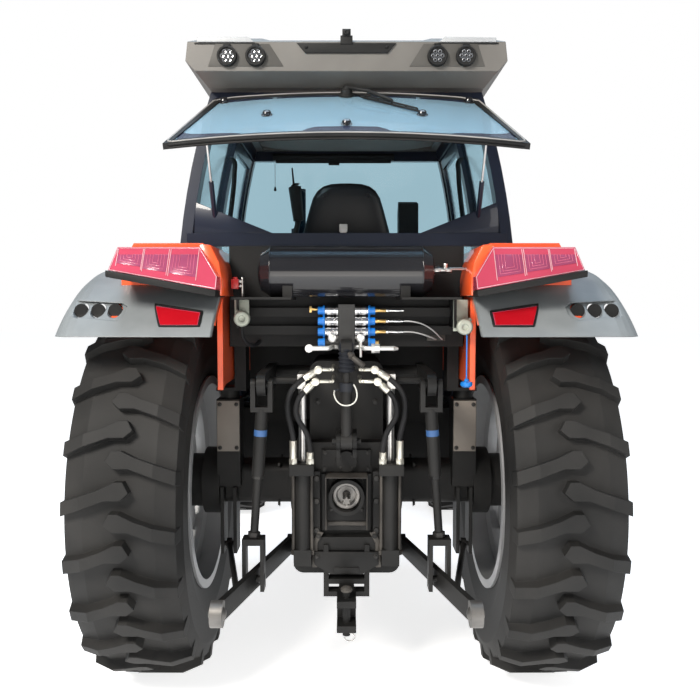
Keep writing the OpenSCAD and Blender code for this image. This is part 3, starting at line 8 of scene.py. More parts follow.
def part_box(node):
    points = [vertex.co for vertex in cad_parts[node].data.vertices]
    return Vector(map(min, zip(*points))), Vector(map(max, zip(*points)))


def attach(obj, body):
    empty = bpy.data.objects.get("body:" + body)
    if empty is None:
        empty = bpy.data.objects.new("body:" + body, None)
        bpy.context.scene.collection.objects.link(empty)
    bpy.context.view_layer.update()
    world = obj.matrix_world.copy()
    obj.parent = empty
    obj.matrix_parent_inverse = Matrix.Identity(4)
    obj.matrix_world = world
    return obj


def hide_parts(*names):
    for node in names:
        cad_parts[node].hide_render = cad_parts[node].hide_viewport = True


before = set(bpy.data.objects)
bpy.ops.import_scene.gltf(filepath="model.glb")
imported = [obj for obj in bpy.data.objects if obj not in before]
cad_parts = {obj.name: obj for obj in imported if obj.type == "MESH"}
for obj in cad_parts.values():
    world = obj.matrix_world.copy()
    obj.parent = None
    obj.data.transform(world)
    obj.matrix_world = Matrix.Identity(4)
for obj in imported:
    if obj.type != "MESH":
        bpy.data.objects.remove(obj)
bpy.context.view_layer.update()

# The studio: a pale floor that runs out into a white surround, a blue sky light overhead, a warm
# light over the camera's left shoulder and two weak ones. The camera stands behind the tractor on
# its centre line, a little above the seat, and looks slightly down.
tyre_low, tyre_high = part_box("rear_tyre_left")
axle_y = (tyre_low.y + tyre_high.y) / 2


def at(x, y, z):
    """A place measured from the rear axle: to the right, forward, and up from the ground."""
    return Vector((x, axle_y + y, z))


def stand(name, data):
    """Makes an object from its data and links it into the scene."""
    made = bpy.data.objects.new(name, data)
    bpy.context.scene.collection.objects.link(made)
    return made


def put(node, **values):
    """Sets the sockets of a node. An underscore stands for the space in a socket's name."""
    for socket, value in values.items():
        node.inputs[socket.replace("_", " ")].default_value = value


floor_mesh = bpy.data.meshes.new("studio_floor")
reach = 40.0
floor_mesh.from_pydata(
    [(-reach, -reach, 0), (reach, -reach, 0), (reach, reach, 0), (-reach, reach, 0)], [], [(0, 1, 2, 3)]
)
floor = stand("studio_floor", floor_mesh)
floor_look = bpy.data.materials.new("studio_floor")
floor_look.use_nodes = True
put(
    floor_look.node_tree.nodes["Principled BSDF"], Base_Color=(0.93, 0.93, 0.93, 1), Roughness=0.9,
    Emission_Color=(1, 1, 1, 1), Emission_Strength=0.76,
)
floor_mesh.materials.append(floor_look)

world = bpy.context.scene.world or bpy.data.worlds.new("studio")
bpy.context.scene.world = world
world.use_nodes = True
world_tree = world.node_tree
world_tree.nodes.clear()
world_out = world_tree.nodes.new("ShaderNodeOutputWorld")
seen = world_tree.nodes.new("ShaderNodeBackground")
put(seen, Color=(1, 1, 1, 1))
felt = world_tree.nodes.new("ShaderNodeBackground")
put(felt, Color=(0.88, 0.94, 1, 1), Strength=0.28)
ray = world_tree.nodes.new("ShaderNodeLightPath")
pick = world_tree.nodes.new("ShaderNodeMixShader")
either = world_tree.nodes.new("ShaderNodeMath")
either.operation = "MAXIMUM"
for start, out, end, into in (
    (ray, "Is Camera Ray", either, 0), (ray, "Is Transmission Ray", either, 1), (either, 0, pick, 0),
    (felt, 0, pick, 1), (seen, 0, pick, 2), (pick, 0, world_out, "Surface"),
):
    world_tree.links.new(start.outputs[out], end.inputs[into])


def soft_light(name, place, target, size, power, colour):
    """A square lamp that looks from its place at a target."""
    lamp = bpy.data.lights.new(name, "AREA")
    lamp.size = size
    lamp.energy = power
    lamp.color = colour
    holder = stand(name, lamp)
    holder.location = place
    holder.rotation_euler = (target - place).to_track_quat("-Z", "Y").to_euler()


soft_light("sun_light", at(-3.4, -5.2, 5.6), at(0, 0, 1.2), 2.0, 680, (1, 0.95, 0.88))
soft_light("fill_light", at(4.5, -5.0, 3.2), at(0, 0, 1.0), 3.0, 110, (1, 0.97, 0.94))
soft_light("sky_light", at(0, 1.2, 7.6), at(0, 0.4, 1.0), 5.0, 380, (0.66, 0.83, 1))
soft_light("low_light", at(0, -5.5, 0.9), at(0, 0, 0.9), 2.2, 40, (1, 0.94, 0.86))

camera_data = bpy.data.cameras.new("camera")
camera_data.lens = 38.3
camera_data.sensor_width = 36
camera_data.shift_x = 0.005
camera_data.clip_end = 200
camera = stand("camera", camera_data)
camera.location = at(0, -3.62, 1.74)
camera.rotation_euler = (math.radians(86.4), 0, 0)
bpy.context.scene.camera = camera
bpy.context.scene.view_settings.view_transform = "Standard"

# Lift hoses: four rubber hoses, steel braid inside and a woven sleeve outside. Each is crimped into
# zinc-plated ends, which screw to pipes on the lift housing and to port blocks on the cylinder heads.


def surface(name, light, dark, rough, grain=40.0, metal=0.0, bump=0.08, coat=0.0, edge=0.0):
    """A material whose colour, gloss and height vary with a coarse and a fine grain."""
    look = bpy.data.materials.new(name)
    look.use_nodes = True
    tree = look.node_tree
    shader = tree.nodes["Principled BSDF"]
    place = tree.nodes.new("ShaderNodeTexCoord")
    coarse = tree.nodes.new("ShaderNodeTexNoise")
    put(coarse, Scale=grain / 12, Detail=6)
    fine = tree.nodes.new("ShaderNodeTexNoise")
    put(fine, Scale=grain * 8, Detail=3)
    tone = tree.nodes.new("ShaderNodeValToRGB")
    for stop, share, colour in zip(tone.color_ramp.elements, (0.32, 0.68), (dark, light)):
        stop.position = share
        stop.color = (*colour, 1)
    gloss = tree.nodes.new("ShaderNodeMapRange")
    put(gloss, To_Min=max(rough - 0.08, 0.02), To_Max=min(rough + 0.1, 1))
    height = tree.nodes.new("ShaderNodeBump")
    put(height, Strength=bump, Distance=0.002)
    links = [
        (place, "Object", coarse, "Vector"), (place, "Object", fine, "Vector"), (coarse, "Fac", tone, "Fac"),
        (tone, "Color", shader, "Base Color"), (coarse, "Fac", gloss, "Value"),
        (gloss, "Result", shader, "Roughness"), (fine, "Fac", height, "Height"),
        (height, "Normal", shader, "Normal"),
    ]
    if edge:
        round_edge = tree.nodes.new("ShaderNodeBevel")
        round_edge.samples = 4
        put(round_edge, Radius=edge)
        links.append((round_edge, "Normal", height, "Normal"))
    for start, out, end, into in links:
        tree.links.new(start.outputs[out], end.inputs[into])
    put(shader, Metallic=metal, Coat_Weight=coat, Specular_IOR_Level=0.5 if max(light) > 0.1 else 0.2)
    return look


def show(name, mesh, look, body):
    """Puts a finished mesh or curve on its body with its material."""
    mesh.materials.append(look)
    made = stand(name, mesh)
    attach(made, body)
    return made


def round_curve(name, radius, corners):
    """An empty curve with a round section and closed ends."""
    line = bpy.data.curves.new(name, "CURVE")
    line.dimensions = "3D"
    line.bevel_depth = radius
    line.bevel_resolution = corners
    line.use_fill_caps = True
    return line


def tube(name, points, radius, look, body):
    """Shows a round bar, pipe or hose, drawn as a smooth curve through the points."""
    line = round_curve(name, radius, 4)
    line.resolution_u = 6
    spline = line.splines.new("BEZIER")
    spline.bezier_points.add(len(points) - 1)
    for knot, place in zip(spline.bezier_points, points):
        knot.co = place
        knot.handle_left_type = knot.handle_right_type = "AUTO"
    return show(name, line, look, body)


def drum(shape, start, end, r0, r1=None, sides=24):
    """Adds a round bar, or a cone, between two points."""
    way = end - start
    turn = way.to_track_quat("Z", "Y").to_matrix().to_4x4()
    bmesh.ops.create_cone(
        shape, cap_ends=True, segments=sides, radius1=r0, radius2=r0 if r1 is None else r1, depth=way.length,
        matrix=Matrix.Translation((start + end) / 2) @ turn,
    )


def bar(shape, one, other):
    """Adds a square-cut bar between two opposite corners."""
    size = Matrix.Diagonal((*(abs(b - a) for a, b in zip(one, other)), 1))
    bmesh.ops.create_cube(shape, size=1, matrix=Matrix.Translation((one + other) / 2) @ size)


def make(name, shape, look, body, width=0.0015, sharp=32):
    """Rounds the sharp edges of a shape, makes its mesh and shows it."""
    limit = math.radians(sharp)
    bmesh.ops.recalc_face_normals(shape, faces=shape.faces)
    edges = [e for e in shape.edges if len(e.link_faces) == 2 and e.calc_face_angle(0) > limit]
    if width:
        bmesh.ops.bevel(
            shape, geom=edges, offset=width, segments=2, profile=0.5, affect="EDGES", clamp_overlap=True
        )
    for face in shape.faces:
        face.smooth = True
    mesh = bpy.data.meshes.new(name)
    shape.to_mesh(mesh)
    shape.free()
    mesh.set_sharp_from_angle(angle=limit)
    return show(name, mesh, look, body)


hose_rubber = surface("hose_rubber", (0.018, 0.018, 0.019), (0.006, 0.006, 0.007), 0.5, 90, bump=0.9)
zinc = surface("zinc", (0.70, 0.68, 0.60), (0.52, 0.50, 0.44), 0.3, 60, metal=0.85, bump=0.1, edge=0.002)
cast_black = surface(
    "cast_black", (0.017, 0.0165, 0.016), (0.007, 0.007, 0.007), 0.5, 50, bump=0.35, edge=0.004
)
hose_d = 0.023
hose_routes = {
    "outer": [
        (0.172, -0.522, 1.429), (0.190, -0.526, 1.417), (0.207, -0.529, 1.402), (0.222, -0.532, 1.386),
        (0.234, -0.534, 1.367), (0.242, -0.535, 1.346), (0.246, -0.535, 1.324), (0.246, -0.533, 1.302),
        (0.245, -0.530, 1.280), (0.242, -0.526, 1.258), (0.237, -0.520, 1.237), (0.233, -0.514, 1.215),
        (0.229, -0.508, 1.194), (0.226, -0.503, 1.172), (0.226, -0.502, 1.150),
    ],
    "inner": [
        (0.171, -0.520, 1.375), (0.186, -0.525, 1.360), (0.198, -0.531, 1.343), (0.206, -0.535, 1.323),
        (0.210, -0.536, 1.302), (0.210, -0.534, 1.281), (0.204, -0.531, 1.260), (0.195, -0.526, 1.241),
        (0.184, -0.521, 1.223), (0.174, -0.516, 1.205), (0.166, -0.511, 1.185), (0.160, -0.507, 1.164),
        (0.156, -0.504, 1.143), (0.154, -0.502, 1.122), (0.154, -0.502, 1.100),
    ],
}
hose_ends, port_blocks = bmesh.new(), bmesh.new()
pipe_roots = {"outer": (0.118, 1.462), "inner": (0.130, 1.412)}
pipe_y, pipe_r, housing_back = -0.512, 0.008, -0.299
elbow_r, nipple_r, crimp_r, ferrule_r, nut_r = 0.017, 0.0135, 0.0155, 0.0150, 0.019
head_top, nut_h = 1.060, 0.024
for side, hand in ((-1, "left"), (1, "right")):
    for name, route in hose_routes.items():
        points = [at(side * x, y, z) for x, y, z in route]
        hose = tube(f"lift_hose_{hand}_{name}", points, hose_d / 2, hose_rubber, "chassis")
        root_x, root_z = pipe_roots[name]
        bends = [(root_x, pipe_y), (0.074, pipe_y), (0.061, -0.506), (0.058, -0.492), (0.058, housing_back)]
        for (x0, y0), (x1, y1) in zip(bends, bends[1:]):
            drum(hose_ends, at(side * x0, y0, root_z), at(side * x1, y1, root_z), pipe_r, sides=16)
        elbow, half_elbow = at(side * root_x, pipe_y, root_z), Vector((0, elbow_r, 0))
        drum(hose_ends, elbow + half_elbow, elbow - half_elbow, elbow_r, sides=20)
        drum(hose_ends, elbow, points[0].lerp(elbow, -0.04), nipple_r)
        drum(hose_ends, points[0].lerp(elbow, 0.62), points[0].lerp(elbow, -0.12), crimp_r)
        foot = points[-1]
        seat = Vector((foot.x, foot.y, head_top))
        drum(hose_ends, foot + Vector((0, 0, 0.010)), seat, ferrule_r)
        drum(hose_ends, seat + Vector((0, 0, nut_h)), seat, nut_r, sides=6)
    bar(port_blocks, at(side * 0.137, -0.524, 1.012), at(side * 0.243, -0.4685, head_top))
make("hose_ends", hose_ends, zinc, "chassis", 0.0008)
make("port_blocks", port_blocks, cast_black, "chassis", 0.003)

# Tyres: black moulded rubber with slanted bars, each tyre in one piece on its rim. The rubber's black
# is uneven, as with dry dust, and the edges of the bars are rounded.


def dress(look, *nodes):
    """Gives solids carried over from the construction their material."""
    for node in nodes:
        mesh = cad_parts[node].data
        mesh.materials.clear()
        mesh.materials.append(look)


tyre_rubber = surface(
    "tyre_rubber", (0.027, 0.026, 0.025), (0.010, 0.010, 0.010), 0.6, 30, bump=0.3, edge=0.006
)
dress(tyre_rubber, "rear_tyre_left", "rear_tyre_right", "front_tyre_left", "front_tyre_right")

# Rims: pressed steel rims with dished discs in silver grey paint. The rear discs are bolted to the
# axle flanges, and the front ones to the hubs of the steering knuckles.
rim_paint = surface(
    "rim_paint", (0.36, 0.365, 0.37), (0.27, 0.272, 0.28), 0.42, 22, metal=0.3, bump=0.05, edge=0.003
)
dress(rim_paint, "rear_rim_left", "rear_rim_right", "front_rim_left", "front_rim_right")

# Gearbox, axle housings, engine and front axle: iron castings in satin black paint with a sandy
# skin. Cover plates close the cab posts, and bolts hold the flanges. The cover plates' grey-brown
# is painted light, reflected from the ground onto faces turned to the rear.


def bolt(shape, seat, way, r=0.010):
    """Adds a six-sided bolt head on its washer."""
    drum(shape, seat - way * 0.001, seat + way * 0.0025, r * 1.4)
    drum(shape, seat + way * 0.002, seat + way * (0.002 + r * 0.8), r, sides=6)


back, forth, up, down = Vector((0, -1, 0)), Vector((0, 1, 0)), Vector((0, 0, 1)), Vector((0, 0, -1))
dress(
    cast_black, "gearbox_case", "axle_trumpets", "engine_block", "front_frame", "front_weights", "front_axle",
    "knuckle_left", "knuckle_right", "tie_rod", "cab_mounts",
)
# The grey-brown of the cover plates is painted light, reflected from the ground onto faces turned to the
# rear.
cover_painted_light = surface("cover_painted_light", (0.20, 0.175, 0.150), (0.15, 0.132, 0.115), 0.6, 30, bump=0.2)
bolt_black = surface(
    "bolt_black", (0.045, 0.043, 0.041), (0.020, 0.020, 0.020), 0.4, 60, metal=0.5, bump=0.1
)
axle_z, flange_x, flange_ring = 0.875, 0.319, 0.134
post_face, cover_face, housing_face = -0.150, -0.157, -0.300
post_cover, casting_bolts = bmesh.new(), bmesh.new()
for side in (-1, 1):
    bar(post_cover, at(side * 0.502, post_face, 1.045), at(side * 0.608, cover_face, 1.284))
    for x in (0.516, 0.594):
        for z in (1.062, 1.267):
            bolt(casting_bolts, at(side * x, cover_face, z), back, 0.007)
    for k in range(4):
        turn = math.radians(90 * k + 45)
        place = at(side * flange_x, flange_ring * math.cos(turn), axle_z + flange_ring * math.sin(turn))
        bolt(casting_bolts, place, Vector((side, 0, 0)))
    for x, z in ((0.13, 1.30), (0.13, 1.44), (0.05, 1.46)):
        bolt(casting_bolts, at(side * x, housing_face, z), back)
make("post_covers", post_cover, cover_painted_light, "chassis", 0.003)
make("casting_bolts", casting_bolts, bolt_black, "chassis", 0.0008)

# Power take-off and its plate: a splined steel shaft in a light seal ring, under a folded sheet
# shield. Flat straps on the rails carry a cross plate above the drawbar, and bolts hold them.
forged_black = surface(
    "forged_black", (0.018, 0.0175, 0.017), (0.007, 0.007, 0.007), 0.42, 45, bump=0.2, edge=0.003
)
bare_steel = surface(
    "bare_steel", (0.62, 0.61, 0.59), (0.40, 0.39, 0.38), 0.32, 60, metal=1.0, bump=0.1, edge=0.002
)
worn_black = surface(
    "worn_black", (0.085, 0.077, 0.069), (0.024, 0.023, 0.022), 0.45, 80, metal=0.2, bump=0.2
)
worn_steel = surface("worn_steel", (0.20, 0.19, 0.18), (0.09, 0.087, 0.083), 0.45, 80, metal=0.7, bump=0.2)
seal_grey = surface("seal_grey", (0.30, 0.29, 0.28), (0.22, 0.21, 0.20), 0.45, 50, metal=0.4, bump=0.1)
dress(worn_steel, "pto_shaft")
dress(cast_black, "hitch_frame")


def wrap(shape, rings):
    """Closes a form over its rings of points, with a lid at each end."""
    sides = len(rings[0])
    for one, other in zip(rings, rings[1:]):
        for k in range(sides):
            shape.faces.new((one[k], one[(k + 1) % sides], other[(k + 1) % sides], other[k]))
    shape.faces.new(rings[0][::-1])
    shape.faces.new(rings[-1])


def lathe(shape, start, way, profile, sides=32):
    """Adds a turned piece: pairs of (distance along the axis, radius) from a start point."""
    turn = way.to_track_quat("Z", "Y")
    rings = []
    for along, radius in profile:
        rings.append([
            shape.verts.new(start + turn @ Vector((
                radius * math.cos(math.tau * k / sides), radius * math.sin(math.tau * k / sides), along
            ))) for k in range(sides)
        ])
    wrap(shape, rings)


def plate(shape, outline, way):
    """Adds a flat plate from its outline and its thickness."""
    near = [shape.verts.new(place) for place in outline]
    far = [shape.verts.new(place + way) for place in outline]
    shape.faces.new(near[::-1])
    shape.faces.new(far)
    for a, b, c, d in zip(near, near[1:] + near[:1], far[1:] + far[:1], far):
        shape.faces.new((a, b, c, d))


pto_z, seal_back = 0.905, -0.3945
seal_ring = bmesh.new()
lathe(
    seal_ring, at(0, seal_back, pto_z), back,
    [(0, 0.060), (0.034, 0.060), (0.038, 0.056), (0.038, 0.046), (0.034, 0.042), (0.010, 0.040)], 48,
)
make("pto_seal_ring", seal_ring, seal_grey, "chassis", 0)
plate_face, rail_face, cross_face = -0.408, -0.4245, -0.4320
shield_x, shield_top, shield_end, shield_t, strap_t = 0.090, 1.002, -0.505, 0.004, 0.008
cheek = [(plate_face, shield_top), (shield_end, shield_top), (-0.470, 0.764), (plate_face, 0.764)]
strap = [(0.100, 0.742), (0.124, 0.748), (0.147, 0.700), (0.150, 0.588), (0.128, 0.588), (0.126, 0.696)]
shield = bmesh.new()
bar(shield, at(-shield_x, plate_face, shield_top - shield_t), at(shield_x, shield_end, shield_top))
for side in (-1, 1):
    plate(shield, [at(side * shield_x, y, z) for y, z in cheek], Vector((-side * shield_t, 0, 0)))
    plate(shield, [at(side * x, rail_face, z) for x, z in strap], back * strap_t)
bar(shield, at(-shield_x, plate_face, 0.768), at(shield_x, -0.414, 0.786))
make("pto_shield", shield, worn_black, "chassis")
cross_plate = bmesh.new()
half_cut = [(0.140, 0.660), (0.140, 0.604), (0.070, 0.560)]
cross_cut = half_cut + [(-x, z) for x, z in half_cut[::-1]]
plate(cross_plate, [at(x, cross_face, z) for x, z in cross_cut], back * 0.010)
bar(cross_plate, at(-0.055, -0.4410, 0.566), at(0.055, -0.4470, 0.592))
make("drawbar_cross_plate", cross_plate, forged_black, "chassis")
plate_bolts = bmesh.new()
for side in (-1, 1):
    for z in (0.980, 0.880, 0.750):
        bolt(plate_bolts, at(side * 0.130, plate_face, z), back, 0.006)
        drum(plate_bolts, at(side * 0.130, rail_face, z), at(side * 0.130, -0.430, z), 0.014, 0.012)
    for x, y, z, r in (
        (0.068, plate_face, 0.838, 0.006), (0.068, plate_face, 0.972, 0.006), (0.094, -0.398, 1.016, 0.007),
        (0.094, -0.398, 1.088, 0.007), (0.122, rail_face - strap_t, 0.728, 0.008),
        (0.128, cross_face - 0.010, 0.640, 0.008),
    ):
        bolt(plate_bolts, at(side * x, y, z), back, r)
for k in range(4):
    turn = math.radians(90 * k + 45)
    bolt(plate_bolts, at(0.036 * math.cos(turn), -0.416, 1.0515 + 0.036 * math.sin(turn)), back, 0.004)
make("plate_bolts", plate_bolts, bolt_black, "chassis", 0.0007)

# Hitch: forged lift arms, screwed lift rods, flat lower links and two lift cylinders in black paint.
# The ball ends and pin clips are bare steel, and a blue paint band marks each lift rod.
dress(forged_black, "lift_arms", "lift_rods", "lower_links", "lift_cylinders")
dress(bare_steel, "cylinder_rods")
mark_blue = surface("mark_blue", (0.03, 0.10, 0.26), (0.02, 0.06, 0.16), 0.5, 40, bump=0.1)
rod_y, pin_z, ball_x, ball_y = -0.600, 0.600, 0.475, -0.950
rod_top, rod_drop, rod_top_x, rod_spread = 1.308, 0.545, 0.345, 0.038
port_y, port_top, port_low = -0.448, 1.0165, 0.655


def on_rod(side, z):
    """A place on the middle line of a lift rod, which leans outward on its way down."""
    return at(side * (rod_top_x + rod_spread * (rod_top - z) / rod_drop), rod_y, z)


bands, rod_steel, link_steel, cylinder_pipes = bmesh.new(), bmesh.new(), bmesh.new(), bmesh.new()
for side, hand in ((-1, "left"), (1, "right")):
    drum(bands, on_rod(side, 1.198), on_rod(side, 1.224), 0.0268)
    drum(rod_steel, on_rod(side, 1.040), on_rod(side, 1.022), 0.024, sides=6)
    drum(rod_steel, on_rod(side, 0.800), on_rod(side, 0.778), 0.026, sides=6)
    for x in (0.3375, 0.4285):
        drum(rod_steel, at(side * (x - 0.0015), rod_y, pin_z), at(side * (x + 0.0015), rod_y, pin_z), 0.024)
    bmesh.ops.create_uvsphere(
        link_steel, u_segments=24, v_segments=12, radius=0.034,
        matrix=Matrix.Translation(at(side * ball_x, ball_y, pin_z)),
    )
    lathe(
        link_steel, at(side * (ball_x - 0.0225), ball_y, pin_z), Vector((side, 0, 0)),
        [(0, 0.036), (0, 0.0488), (0.045, 0.0488), (0.045, 0.036)], 32,
    )
    for x in (0.150, 0.230):
        for high, low, r, sides in (
            (port_top, port_low, 0.007, 16), (port_top, 1.000, 0.012, 6),
            (port_low + 0.014, port_low - 0.004, 0.012, 6),
        ):
            drum(cylinder_pipes, at(side * x, port_y, high), at(side * x, port_y, low), r, sides=sides)
    turns = [math.radians(90 - 30 * k) for k in range(12)]
    ring = [at(side * 0.431, rod_y + 0.019 * math.cos(t), pin_z - 0.020 + 0.019 * math.sin(t)) for t in turns]
    tube(f"lift_pin_clip_{hand}", ring, 0.0022, bare_steel, "lift_rods")
make("lift_rod_bands", bands, mark_blue, "lift_rods", 0.0004)
make("lift_rod_nuts", rod_steel, bolt_black, "lift_rods", 0.001)
make("link_balls", link_steel, worn_steel, "lower_links", 0)
make("cylinder_pipes", cylinder_pipes, worn_black, "chassis", 0.0006)

# Drawbar: a flat bar with a jaw and a dropped-in pin. The pin has a turned head on top and a wire
# ring through its foot.
dress(cast_black, "drawbar")
draw_pin = bmesh.new()
lathe(draw_pin, at(0, -0.815, 0.634), up, [(0, 0.022), (0.010, 0.022), (0.016, 0.016), (0.020, 0.006)], 28)
make("drawbar_pin_head", draw_pin, worn_black, "chassis", 0)
turns = [math.radians(160 - 30 * k) for k in range(12)]
foot_ring = [at(0.012 + 0.020 * math.cos(t), -0.824, 0.456 + 0.016 * math.sin(t)) for t in turns]
tube("drawbar_pin_ring", foot_ring, 0.0025, bare_steel, "chassis")

# Top link: a steel bar stowed upright behind the gearbox. A ribbed rubber boot sits over its free
# end, with a short locking rod and a clip that holds a white tie wire.
boot_rubber = surface("boot_rubber", (0.022, 0.024, 0.030), (0.010, 0.011, 0.014), 0.35, 50, bump=0.1)
white_wire = surface("white_wire", (0.66, 0.66, 0.62), (0.50, 0.50, 0.46), 0.5, 60, bump=0.1)
dress(forged_black, "top_link")
link_low, link_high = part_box("top_link")
link_y = (link_low.y + link_high.y) / 2 - axle_y
boot = bmesh.new()
ribs = [(0.0, 0.026), (0.004, 0.032)]
for k in range(6):
    ribs += [(0.010 + 0.017 * k, 0.036), (0.018 + 0.017 * k, 0.029)]
ribs += [(0.114, 0.030), (0.126, 0.026)]
lathe(boot, at(0, link_y, 1.450), up, ribs, 32)
make("top_link_boot", boot, boot_rubber, "top_link", 0, 70)
lock = bmesh.new()
drum(lock, at(0.012, link_y - 0.030, 1.530), at(0.026, link_y - 0.052, 1.515), 0.010)
drum(lock, at(0.026, link_y - 0.052, 1.515), at(0.070, link_y - 0.074, 1.482), 0.012)
drum(lock, at(0.020, link_y - 0.042, 1.5215), at(0.024, link_y - 0.048, 1.5175), 0.0145)
make("top_link_lock", lock, worn_black, "top_link")
wire_route = [
    (-0.050, 0.006, 1.372), (-0.052, 0.022, 1.364), (-0.050, 0.034, 1.352), (-0.044, 0.042, 1.339),
    (-0.035, 0.048, 1.328), (-0.024, 0.052, 1.320), (-0.012, 0.054, 1.316), (0.001, 0.054, 1.315),
    (0.014, 0.053, 1.317), (0.026, 0.050, 1.322), (0.036, 0.045, 1.331), (0.042, 0.038, 1.343),
    (0.044, 0.030, 1.357), (0.042, 0.022, 1.372), (0.037, 0.014, 1.386), (0.030, 0.008, 1.398),
]
wire_points = [at(x, link_y - out, z) for x, out, z in wire_route]
tie_wire = tube("top_link_tie_wire", wire_points, 0.003, white_wire, "top_link")
tie_clip = bmesh.new()
lathe(tie_clip, at(0, link_y, 1.368), up, [(0, 0.026), (0, 0.0300), (0.036, 0.0300), (0.036, 0.026)], 28)
drum(tie_clip, at(-0.026, link_y, 1.376), at(-0.0535, link_y - 0.004, 1.3725), 0.005, sides=12)
drum(tie_clip, at(0.024, link_y, 1.396), at(0.0325, link_y - 0.007, 1.3985), 0.005, sides=12)
make("top_link_tie_clip", tie_clip, boot_rubber, "top_link", 0)

# Air tank: a welded steel vessel with dished ends in gloss black paint, lying in the saddles of the
# shelf. Screwed steel fittings and a short hose close its right end, and a red tap stands at the left.
gloss_black = surface(
    "gloss_black", (0.014, 0.014, 0.016), (0.009, 0.009, 0.011), 0.2, 14, bump=0.03, coat=0.6
)
tap_red = surface("tap_red", (0.55, 0.02, 0.02), (0.42, 0.015, 0.015), 0.35, 40, bump=0.1)
dress(gloss_black, "air_tank")
dress(forged_black, "rear_shelf")
tank_y, tank_z, tank_r = -0.440, 1.872, 0.108
seams = bmesh.new()
for x in (-0.318, 0.318):
    lathe(
        seams, at(x - 0.004, tank_y, tank_z), Vector((1, 0, 0)),
        [(0, tank_r - 0.003), (0.001, tank_r + 0.0006), (0.004, tank_r + 0.0016), (0.007, tank_r + 0.0006),
         (0.008, tank_r - 0.003)], 64,
    )
make("tank_seams", seams, gloss_black, "chassis", 0, 60)
fittings = bmesh.new()
fit_z = 1.880
for x0, x1, r, sides in ((0.372, 0.398, 0.015, 6), (0.396, 0.424, 0.011, 24), (0.424, 0.446, 0.0135, 6)):
    drum(fittings, at(x0, tank_y, fit_z), at(x1, tank_y, fit_z), r, sides=sides)
drum(fittings, at(0.420, tank_y, fit_z), at(0.420, tank_y, 1.908), 0.010, sides=6)
make("tank_fittings", fittings, bare_steel, "chassis", 0.0008)
feed_points = [
    at(0.400 + 0.009 * k, tank_y + 0.001 * k, fit_z + 0.006 * math.sin(k * 0.2)) for k in range(16)
]
feed = tube("tank_feed_hose", feed_points, 0.0065, bare_steel, "chassis")
tap_y, tap_top = -0.448, 1.842
tap = bmesh.new()
bar(tap, at(-0.488, tap_y - 0.014, 1.800), at(-0.456, tap_y + 0.014, tap_top))
drum(tap, at(-0.472, tap_y, tap_top), at(-0.472, tap_y, 1.850), 0.010)
make("tank_tap", tap, tap_red, "chassis", 0.003)
tap_foot = bmesh.new()
for z in (1.832, 1.812):
    drum(tap_foot, at(-0.464, tap_y, z), at(-0.436, tap_y, z), 0.008, sides=6)
bar(tap_foot, at(-0.442, tap_y - 0.022, 1.7645), at(-0.436, tap_y + 0.022, 1.850))
make("tank_tap_foot", tap_foot, bare_steel, "chassis", 0.0008)

# Remote valves: a cast block with chromed quick couplers, closed by blue plastic caps. Brass cable
# ends stand out to the right, and two thin sheathed cables lead from them to a clamp on the shelf.
valve_metal = surface(
    "valve_metal", (0.055, 0.055, 0.055), (0.030, 0.030, 0.030), 0.4, 50, metal=0.4, bump=0.15, edge=0.002
)
chrome = surface("chrome", (0.80, 0.80, 0.80), (0.62, 0.62, 0.64), 0.16, 60, metal=1.0, bump=0.05)
cap_blue = surface("cap_blue", (0.012, 0.20, 0.62), (0.008, 0.14, 0.48), 0.35, 40, bump=0.05)
brass = surface("brass", (0.72, 0.50, 0.20), (0.55, 0.36, 0.13), 0.3, 60, metal=1.0, bump=0.1)
dress(valve_metal, "remote_valves")
dress(cap_blue, "coupler_caps")
valve_y, cap_face = -0.400, 0.1225
rows = (1.616, 1.662, 1.708)
couplers, cap_links, ends_brass, ends_steel = bmesh.new(), bmesh.new(), bmesh.new(), bmesh.new()
for side in (-1, 1):
    out = Vector((side, 0, 0))
    for z in rows:
        lathe(
            couplers, at(side * 0.0352, valve_y, z), out,
            [(0, 0.0175), (0.002, 0.0215), (0.009, 0.0215), (0.011, 0.0185), (0.018, 0.0185), (0.020, 0.0205),
             (0.024, 0.0205), (0.026, 0.0190), (0.030, 0.0190), (0.032, 0.0210), (0.048, 0.0210),
             (0.050, 0.0180), (0.057, 0.0175)], 28,
        )
        lathe(
            cap_links, at(side * 0.094, valve_y, z), out,
            [(0, 0.0205), (0, 0.0235), (0.008, 0.0235), (0.008, 0.0205)], 28,
        )
    for low, high in zip(rows, rows[1:]):
        bar(
            cap_links, at(side * 0.095, valve_y - 0.004, low + 0.019),
            at(side * 0.101, valve_y + 0.004, high - 0.019),
        )
drum(ends_brass, at(cap_face, valve_y, 1.570), at(0.140, valve_y, 1.570), 0.0100, sides=6)
for z in rows:
    for shape, x0, x1, r, sides in (
        (ends_brass, cap_face, 0.134, 0.0105, 6), (ends_brass, 0.134, 0.170, 0.0080, 24),
        (ends_steel, 0.170, 0.180, 0.0085, 6), (ends_steel, 0.180, 0.236, 0.0058, 24),
        (ends_steel, 0.236, 0.248, 0.0045, 24),
    ):
        drum(shape, at(x0, valve_y, z), at(x1, valve_y, z), r, sides=sides)
drum(ends_brass, at(-cap_face, valve_y, 1.713), at(-0.150, valve_y, 1.713), 0.006)
bar(ends_brass, at(-0.150, valve_y - 0.006, 1.700), at(-0.160, valve_y + 0.006, 1.727))
make("couplers", couplers, chrome, "chassis", 0)
make("cap_links", cap_links, cap_blue, "chassis", 0.0005)
make("cable_ends_brass", ends_brass, brass, "chassis", 0.0006)
make("cable_ends_steel", ends_steel, chrome, "chassis", 0.0006)
cable_grey = surface("cable_grey", (0.42, 0.42, 0.42), (0.30, 0.30, 0.30), 0.4, 60, bump=0.1)
